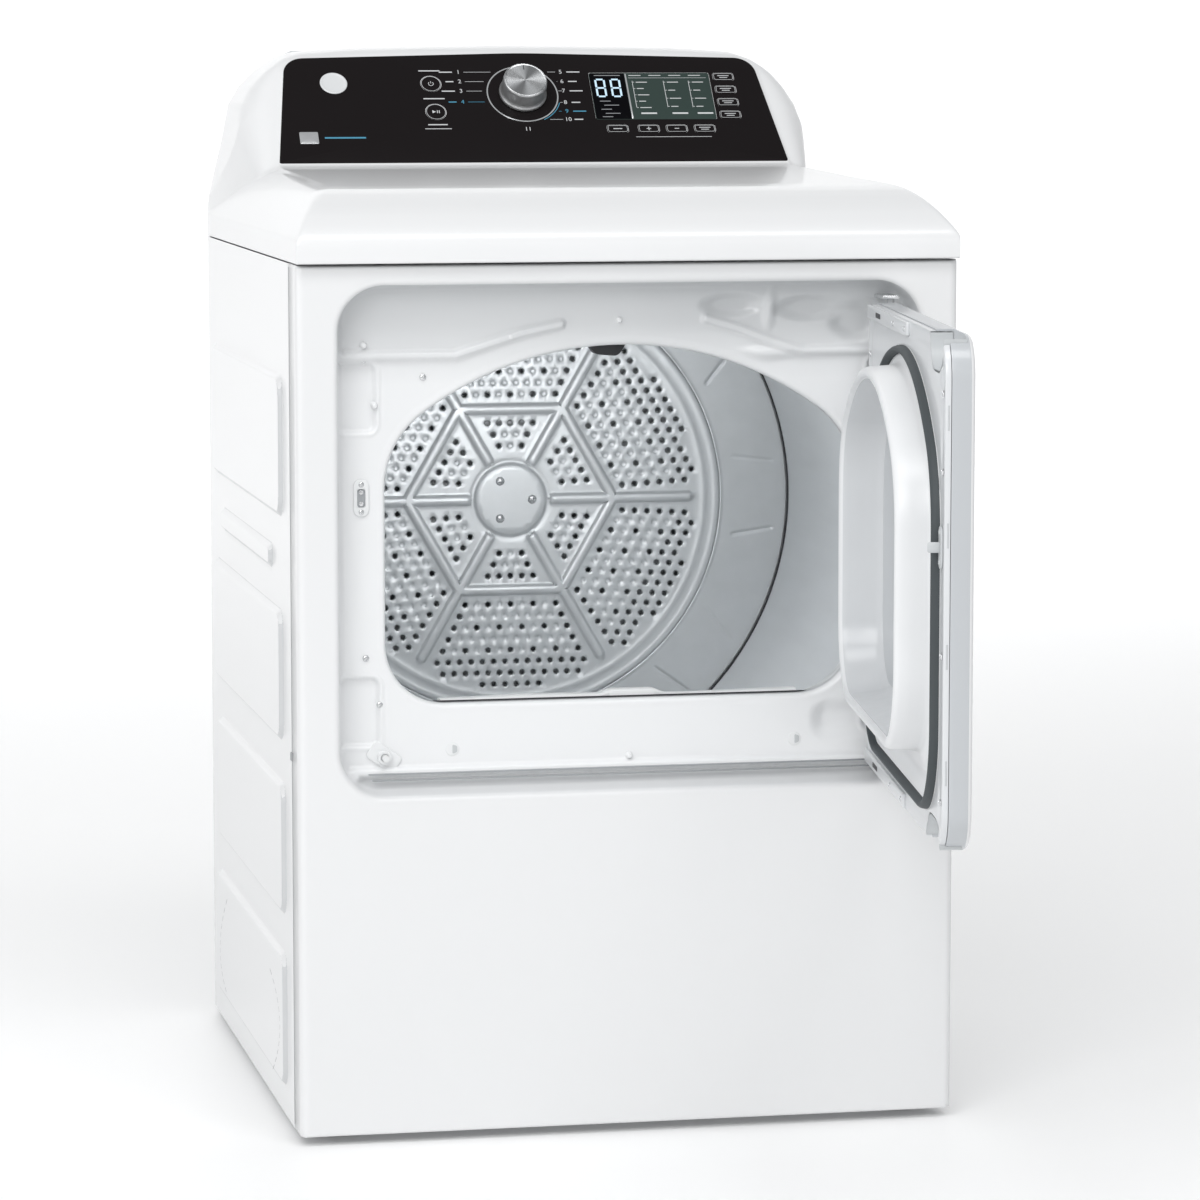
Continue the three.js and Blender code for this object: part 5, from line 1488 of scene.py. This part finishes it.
def top_section(y, cap):
    """One cross-section of the whole top, from the right lip over to the left one."""
    x = np.linspace(0, HALF, 2400)
    side_slope = 924 + 1.95 * (HALF - x) - 0.017 * np.minimum(HALF - x, 50) ** 2
    deck_cap = min(cap, np.interp(y, (90, 180, 300, 440, 490, 702), (972.5, 974.6, 977.6, 981.2, 982.4, 976)))
    deck = smooth_min(np.full_like(x, deck_cap), side_slope, 8)
    height = deck
    if y > CONSOLE_START:
        crown = cap - 9 * (x / 300) ** 4 * smooth_step(np.array(cap), 1080, 1118)
        wall = np.interp(x, *wall_profile(y))
        height = smooth_max(deck, smooth_min(crown, wall, 14), 9)
        height = np.minimum(height, cap)
    low = np.stack([np.full(30, HALF), np.linspace(TOP + 0.6, height[-1], 30)], axis=1)
    right = np.concatenate([low, np.stack([x, height], axis=1)[::-1]])
    length = np.concatenate([[0], np.cumsum(np.linalg.norm(np.diff(right, axis=0), axis=1))])
    at = np.linspace(0, length[-1], 150)
    right = np.stack([np.interp(at, length, right[:, i]) for i in range(2)], axis=1)
    right[:, 0] = np.where(right[:, 0] < 1e-6, 0, right[:, 0])
    whole = np.concatenate([right, (right * (-1, 1))[::-1][1:]])
    return np.stack([whole[:, 0], np.full(len(whole), y), whole[:, 1]], axis=1)


def wall_profile(y):
    """The console's end wall at depth y, as x and height arrays for interpolation."""
    z = np.linspace(CONSOLE_TOP, 900, 260)
    full = np.minimum(end_half_width(z), console_plan(y) - 0.06 * np.maximum(z - 985, 0))
    up_slope = np.clip((z - FASCIA_ORIGIN[2]) / math.sin(FASCIA_SLOPE), 0, FASCIA["height"])
    plate = FASCIA["half"] - (FASCIA["half"] - FASCIA["top_half"]) * up_slope / FASCIA["height"]
    corner = np.clip(full - plate - 2, 6, 60)
    behind_face = y - FASCIA_ORIGIN[1] - (z - FASCIA_ORIGIN[2]) / math.tan(FASCIA_SLOPE)
    t = 1 - np.clip(behind_face / (1.3 * corner), 0, 1)
    half = full - corner * (1 - np.sqrt(np.maximum(0, 1 - t * t)))
    half = np.where(z > 1117.8, 0, half)
    order = np.argsort(half + np.linspace(0, 1e-3, len(z)))
    return half[order], z[order]


def top_cover():
    """The worktop and console as one pressed and moulded skin."""
    sections = [top_section(y, cap) for y, cap in centre_profile()]
    faces = grid(len(sections), len(sections[0]))
    obj = piece("top_cover", np.concatenate(sections), faces, CONSOLE, "cabinet", slot="cabinet_white",
                replaces=["worktop", "console_housing"], sharp=60)
    thicken(obj, 2.5, -1.0)


# ---------------------------------------------------------------- fascia
KEYS = [("option_key_" + str(i + 1), x, 48.3) for i, x in enumerate((98.7, 134.3, 166.5, 198.8))]
KEYS += [("side_key_" + str(i + 1), 231.5, s) for i, s in enumerate((124.8, 105.8, 87.2, 68.6))]
ROUND_BUTTONS = [("power_button", -106, 115.2), ("start_button", -105, 74)]
# How high above the plate its print, the keys' print and the display's print stand.
INK_LEVEL = 0.75
KEY_INK = 0.62
SCALE_INK = 0.26
STATUS_INK = 0.36


def on_fascia(name, solids, material, slot="display", body="cabinet"):
    """A piece of several solids on the fascia's slope."""
    piece(name, *joined(*solids), material, body, fascia_row, slot=slot)


def fascia_outline():
    """The fascia plate's outline, even in step."""
    half, top, height = FASCIA["half"], FASCIA["top_half"], FASCIA["height"]
    ring = rounded([(-half, 0, 1.5), (half, 0, 1.5), (top, height - 5, FASCIA["radius"]),
                    (0, height + FASCIA["crown"], 900), (-top, height - 5, FASCIA["radius"])])
    return even(ring, 2.5)


def fascia_plate():
    """The gloss black plate, with a round edge and real gaps round every key."""
    points, faces = prism(fascia_outline(), -3, 0.6, 0.8, at_n)
    obj = piece("fascia_panel", points, faces, GLOSS_BLACK, "cabinet", fascia_row, slot="gloss_black",
                replaces=["fascia"])
    cutters = [prism(rectangle(x - 12.5, x + 12.5, s - 6, s + 6, 3), -6, 6, 0.1, at_n) for _, x, s in KEYS]
    cutters += [prism(circle(x, s, 12.1, 48), -6, 6, 0.1, at_n) for _, x, s in ROUND_BUTTONS]
    cutters.append(prism(rectangle(75.7, 215.3, 61.7, 131.3, 2), -6, 6, 0.1, at_n))
    carve(obj, [joined(*cutters)], fascia_row)


def display():
    """The display lens, its darker digit window and the dividing strip."""
    piece("display_lens", *prism(rectangle(76, 215, 62, 131, 2), -3, 0.2, 0.3, at_n), DISPLAY, "cabinet",
          fascia_row, slot="display", replaces=["display_window"])
    window = prism(rectangle(76.6, 117, 62.6, 130.4, 1), 0.1, 0.32, 0.08, at_n)
    on_fascia("digit_window", [window], BLACK_LENS)
    strip = prism(rectangle(117.4, 119.2, 62.6, 130.4, 0.5), 0.1, 0.42, 0.1, at_n)
    on_fascia("display_strip", [strip], CHROME, "knob_silver")
    on_fascia("display_digits", [digit_eight(x, 96, 12, 25) for x in (81.5, 99)], DIGITS)
    dots = []
    for i, s in enumerate((89, 83, 77, 71, 66)):
        dots.append(stroke([(84 + 4 * (i % 2), s), (96 + 9 * (i % 2), s)], 1.0, STATUS_INK))
    dots.append(stroke([(82, 127), (112, 127)], 1.0, STATUS_INK))
    on_fascia("display_status", dots, DIM_INK)
    lines = []
    for column, x in enumerate((125, 161, 190)):
        lines.append(stroke([(x, 80), (x, 119)], 0.6, SCALE_INK))
        for row in range(5 - (column > 0)):
            s = 117 - row * (9.4 if column == 0 else 12)
            lines.append(stroke([(x, s), (x + 2.2, s)], 0.6, SCALE_INK))
            lines.append(stroke([(x + 4, s), (x + (12 if row % 2 else 17), s)], 1.1, SCALE_INK))
        lines.append(stroke([(x + 4, 71), (x + 22, 71)], 2.2, SCALE_INK))
    lines += [stroke([(122 + i * 23, 127), (136 + i * 23, 127)], 1.0, SCALE_INK) for i in range(4)]
    lines.append(stroke([(121, 123.4), (211, 123.4)], 0.4, SCALE_INK))
    on_fascia("display_scale", lines, INK)


def stroke(path, width, level):
    """A thin flat printed line with a little thickness."""
    path = np.array(path, float)
    way = path[-1] - path[0]
    way /= np.linalg.norm(way)
    across = np.array((-way[1], way[0])) * width / 2
    ring = np.array([path[0] - across, path[-1] - across, path[-1] + across, path[0] + across])
    points = np.concatenate([at_n(ring, level - 0.12), at_n(ring, level)])
    return points, grid(2, 4, wrap=True) + [(4, 5, 6, 7), (3, 2, 1, 0)]


def arc_line(x, s, radius, width, start, end, level=INK_LEVEL, count=96):
    """A thin printed arc; start and end are in degrees."""
    angle = np.radians(np.linspace(start, end, count))
    outer, inner = [np.stack([x + r * np.cos(angle), s + r * np.sin(angle)], axis=1)
                    for r in (radius + width / 2, radius - width / 2)]
    ring = np.concatenate([outer, inner[::-1]])
    size = len(ring)
    points = np.concatenate([at_n(ring, level - 0.12), at_n(ring, level)])
    faces = grid(2, size, wrap=True)
    for i in range(count - 1):
        faces.append((size + i, size + i + 1, 2 * size - 2 - i, 2 * size - 1 - i))
    return points, faces


def digit_eight(x, s, width, height):
    """A seven-segment figure with every segment lit."""
    bar = 2.2
    half = height / 2
    parts = [stroke([(x + bar, s + level), (x + width - bar, s + level)], bar, 0.4)
             for level in (0.0, half, height)]
    for px in (x + bar / 2, x + width - bar / 2):
        for low in (0.9, half + 0.9):
            parts.append(stroke([(px, s + low), (px, s + low + half - 1.8)], bar, 0.4))
    return joined(*parts)


def outline_line(ring, width, level=INK_LEVEL):
    """A thin printed closed line."""
    outer, inner = ring, inset(ring, width)
    points = np.concatenate([at_n(outer, level - 0.12), at_n(outer, level), at_n(inner, level),
                             at_n(inner, level - 0.12)])
    return points, grid(4, len(ring), wrap=True)


def buttons():
    """Every key and button as its own soft-edged cap with a thin printed outline."""
    for name, x, s in KEYS:
        cap = prism(rectangle(x - 12, x + 12, s - 5.5, s + 5.5, 2.5), -4, 0.5, 0.5, at_n)
        piece(name + "_cap", *cap, GLOSS_BLACK, name, fascia_row, slot="gloss_black", replaces=[name])
        line = outline_line(even(rectangle(x - 11, x + 11, s - 4.6, s + 4.6, 2.2), 1.0), 0.4, KEY_INK)
        on_fascia(name + "_print", [line, *key_marks(name, x, s)], INK, body=name)
    for name, x, s in ROUND_BUTTONS:
        cap = prism(circle(x, s, 11.5, 64), -4, 0.5, 0.5, at_n)
        piece(name + "_cap", *cap, GLOSS_BLACK, name, fascia_row, slot="gloss_black", replaces=[name])
        line = arc_line(x, s, 10.6, 0.45, 0, 360, KEY_INK)
        on_fascia(name + "_print", [line, *round_marks(name, x, s)], INK, body=name)


def key_marks(name, x, s):
    """The plain mark on a key: a line, a plus, a minus or two lines."""
    minus = stroke([(x - 2.6, s), (x + 2.6, s)], 0.9, KEY_INK)
    if name == "option_key_1":
        return [stroke([(x - 5, s), (x + 5, s)], 1.1, KEY_INK)]
    if name == "option_key_2":
        return [minus, stroke([(x, s - 2.6), (x, s + 2.6)], 0.9, KEY_INK)]
    if name == "option_key_3":
        return [minus]
    return [stroke([(x - half, s + up), (x + half, s + up)], 0.9, KEY_INK)
            for half, up in ((6.5, 1.4), (4.5, -1.4))]


def round_marks(name, x, s):
    """The usual power sign, or a triangle and two bars for start and pause."""
    if name == "power_button":
        return [arc_line(x, s, 2.8, 0.6, 130, 410, KEY_INK, 40),
                stroke([(x, s + 0.5), (x, s + 3.8)], 0.6, KEY_INK)]
    triangle = np.array([(x - 4, s - 2.2), (x, s), (x - 4, s + 2.2)])
    points = np.concatenate([at_n(triangle, 0.5), at_n(triangle, KEY_INK)])
    bars = [stroke([(x + d, s - 2), (x + d, s + 2)], 0.9, KEY_INK) for d in (1.6, 3.8)]
    return [(points, grid(2, 3, wrap=True) + [(3, 4, 5)]), *bars]


def numeral(text, x, s, size=8):
    """A generic numeral as a flat mesh in fascia millimetres."""
    curve = bpy.data.curves.new("numeral", "FONT")
    curve.body = text
    curve.size = size
    curve.align_x = "CENTER"
    curve.align_y = "CENTER"
    curve.resolution_u = 3
    obj = bpy.data.objects.new("numeral", curve)
    bpy.context.scene.collection.objects.link(obj)
    mesh = bpy.data.meshes.new_from_object(obj.evaluated_get(bpy.context.evaluated_depsgraph_get()))
    points = np.array([(v.co.x + x, v.co.y + s, INK_LEVEL) for v in mesh.vertices])
    faces = [tuple(p.vertices) for p in mesh.polygons]
    bpy.data.objects.remove(obj)
    return points, faces


# How far from the knob's centre the pointer lines start.
DIAL_REACH = 46


def dial_marks():
    """The ring round the knob, its pointer lines, generic programme numbers and plain lines."""
    x, s = KNOB
    on_fascia("dial_ring", [arc_line(x, s, 40, 1.5, 0, 360, 0.8, 160)], CHROME, "knob_silver")
    on_fascia("dial_ring_blue", [arc_line(x, s, 42.6, 0.9, -62, -18, 0.8, 60)], BLUE_INK)
    marks, blue = [], []

    def bar(low, high, level, width):
        """A level printed line between two places across the fascia."""
        return stroke([(low, level), (high, level)], width, INK_LEVEL)

    for i, level in enumerate((132, 118, 104, 88)):
        near = x - math.sqrt(max(0, DIAL_REACH ** 2 - (level - s) ** 2))
        target = blue if i == 3 else marks
        target += [bar(-67, near, level, 0.45), numeral(str(i + 1), -73, level)]
        target.append(bar(-95 + 6 * (i % 2), -80, level, 1.5))
    for i, level in enumerate((132, 118, 104, 87, 74, 62)):
        near = x + math.sqrt(max(0, DIAL_REACH ** 2 - (level - s) ** 2))
        target = blue if i == 4 else marks
        target += [bar(near, 38, level, 0.45), numeral(str(i + 5), 44, level)]
        target.append(bar(51, 66 - 5 * (i % 2), level, 1.5))
    marks.append(numeral("11", x, 48))
    for low, high, level, width in ((-118, -94, 134, 1.5), (-117, -93, 93, 1.5), (-116, -94, 55, 1.5),
                                    (-120, -90, 49, 0.9), (118, 205, 36, 0.6)):
        marks.append(bar(low, high, level, width))
    on_fascia("dial_numbers", marks, INK)
    blue.append(bar(-234, -188, 36.5, 2.2))
    on_fascia("dial_numbers_blue", blue, BLUE_INK)


def blank_badges():
    """A blank square and a blank disc."""
    square = prism(rectangle(-262, -241, 28, 45, 1), 0.4, 0.9, 0.2, at_n, 1.5)
    on_fascia("trim_square", [square], CHROME, "knob_silver")
    disc = soft_profile([(0, 0.4), (15.4, 0.4), (15.4, 1.5), (13.6, 2.0), (12.6, 1.4), (0, 1.4)], 0.5)
    on_fascia("blank_badge", [turned(disc, (-216, 115.6), "z", 72)], PALE_BADGE, "knob_silver")


def knob():
    """The selector knob: a flared skirt, a waisted grip and a spun face, in its own tilted frame."""
    profile = [(0, -14), (3, -14), (3, 1.2), (26.4, 1.2), (27, 2.2), (26.8, 4.5), (25.6, 6.5), (25.0, 9),
               (24.9, 21), (24.6, 23.6), (24.0, 24.9), (23.2, 25.5), (22.4, 25.3), (21.6, 25.1), (0, 25.1)]
    points, faces = turned(soft_profile(profile, 0.5, 2), (0, 0), "z", 160)
    mesh = bpy.data.meshes.new("selector_knob_spun")
    mesh.from_pydata((points / 1000).tolist(), [], faces)
    obj = bpy.data.objects.new("selector_knob_spun", mesh)
    bpy.context.scene.collection.objects.link(obj)
    centre = fascia_row([(KNOB[0], KNOB[1], 0)])[0]
    obj.matrix_world = Matrix.Translation(Vector(centre)) @ Matrix.Rotation(FASCIA_SLOPE, 4, "X")
    finish_piece(obj, KNOB_SIDE, "selector_knob", 30, ["selector_knob"])
    # The knob's face takes the spun aluminium with painted highlight fans.
    obj.data.materials.append(SILVER_PAINTED_HIGHLIGHTS)
    face_level = 0.0248
    for polygon in obj.data.polygons:
        polygon.material_index = 1 if polygon.center.z > face_level else 0
    pointer = stroke([(KNOB[0], KNOB[1] + 15), (KNOB[0], KNOB[1] + 21.5)], 1.0, 25.25)
    piece("knob_pointer", *pointer, DARK_PLASTIC, "selector_knob", fascia_row, slot="dark_plastic")


# ---------------------------------------------------------------- finishes of the plain CAD nodes
NODE_FINISH = {
    "base_frame": GALVANISED, "motor_bracket": GALVANISED, "idler_arm": GALVANISED, "drum_shaft": STEEL,
    "motor_body": STEEL, "motor_rotor": STEEL, "upper_hinge_pin": STEEL, "lower_hinge_pin": STEEL,
    "drum_belt": RUBBER, "front_felt_seal": FELT, "drum_bearing": WHITE_PLASTIC, "lint_duct": GREY_PLASTIC,
    "blower_housing": WHITE_PLASTIC, "blower_wheel": DARK_PLASTIC, "heater_coil": HOT_WIRE,
    "idler_pulley": WHITE_PLASTIC, "control_board": BOARD, "door_switch_plunger": WHITE_PLASTIC,
}


def dress_nodes():
    """Gives the CAD nodes that stay visible their materials."""
    for name, material in NODE_FINISH.items():
        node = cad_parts[name]
        node.data.materials.clear()
        node.data.materials.append(material)


# ---------------------------------------------------------------- stage
CAMERA_PLACE = (-1.0283, -4.8659, 1.1318)
CAMERA_LENS = 144.53
CAMERA_DOWN = 0.11779
CAMERA_TURN = -0.20565


def camera():
    """The camera: its place in the row frame's metres, its angles in radians, its lens in millimetres."""
    data = bpy.data.cameras.new("camera")
    data.lens = CAMERA_LENS
    data.sensor_width = 36
    data.clip_end = 100
    obj = bpy.data.objects.new("camera", data)
    obj.location = CAMERA_PLACE
    obj.rotation_euler = (math.pi / 2 - CAMERA_DOWN, 0, CAMERA_TURN)
    bpy.context.scene.collection.objects.link(obj)
    bpy.context.scene.camera = obj


def area_light(name, place, target, size, power):
    """A rectangular light at place that faces target."""
    data = bpy.data.lights.new(name, "AREA")
    data.shape = "RECTANGLE"
    data.size, data.size_y = size
    data.energy = power
    obj = bpy.data.objects.new(name, data)
    obj.location = place
    obj.rotation_euler = (Vector(target) - Vector(place)).to_track_quat("-Z", "Y").to_euler()
    bpy.context.scene.collection.objects.link(obj)


def studio():
    """A pale seamless floor, a bright even surround and large soft lights."""
    turn = np.linspace(0, math.pi / 2, 24)
    side = [(-12, 0)] + [(8 + 4 * math.sin(a), 4 - 4 * math.cos(a)) for a in turn] + [(12, 14)]
    points = [(x, y, z) for y, z in side for x in (-22, 22)]
    mesh = bpy.data.meshes.new("studio_floor")
    mesh.from_pydata(points, [], grid(len(side), 2))
    mesh.shade_smooth()
    floor = bpy.data.objects.new("studio_floor", mesh)
    floor.location.z = -0.0004
    paint = shader("floor_paint", (0.95, 0.95, 0.95), 0.5)
    node = paint.node_tree.nodes["Principled BSDF"]
    node.inputs["Emission Color"].default_value = (1, 1, 1, 1)
    node.inputs["Emission Strength"].default_value = 0.1
    mesh.materials.append(paint)
    bpy.context.scene.collection.objects.link(floor)
    world = bpy.data.worlds.new("studio")
    world.use_nodes = True
    background = world.node_tree.nodes["Background"]
    background.inputs["Color"].default_value = (0.97, 0.985, 1.0, 1)
    background.inputs["Strength"].default_value = 0.42
    bpy.context.scene.world = world
    area_light("key", (-2.4, -3.9, 3.0), (0, 0, 0.6), (2.6, 2.2), 82)
    area_light("top_front", (-0.2, -2.0, 4.2), (0, -0.1, 0.5), (3.4, 1.4), 62)
    area_light("left_fill", (-5.0, -1.2, 1.7), (0, 0.2, 0.6), (2.5, 2.5), 30)
    area_light("backdrop_wash", (0, 5.5, 6.5), (0, 11, 1.5), (12, 2), 460)
    area_light("front_fill", (1.6, -4.6, 1.4), (0, 0, 0.6), (1.6, 2.0), 11)
    area_light("drum_light", (0.0, 0.06, 0.72), (0, 0.6, 0.55), (0.34, 0.16), 1.8)
    bpy.context.scene.view_settings.view_transform = "Standard"


# ---------------------------------------------------------------- everything
camera()
studio()
side_panel(-1, "left_side_panel")
side_panel(1, "right_side_panel")
knockout_marks()
front_panel()
recess_fittings()
catch_and_switch()
rear_side()
heater_shield()
terminal_box()
console_back()
feet()
bulkhead()
lamp_lens()
lint_screen()
rear_head()
drum_shell()
lifters()
door_pan()
liner_flange()
door_liner()
hinge_arms()
door_gasket()
door_clips()
hinge_fittings()
top_cover()
fascia_plate()
display()
buttons()
dial_marks()
blank_badges()
knob()
dress_nodes()
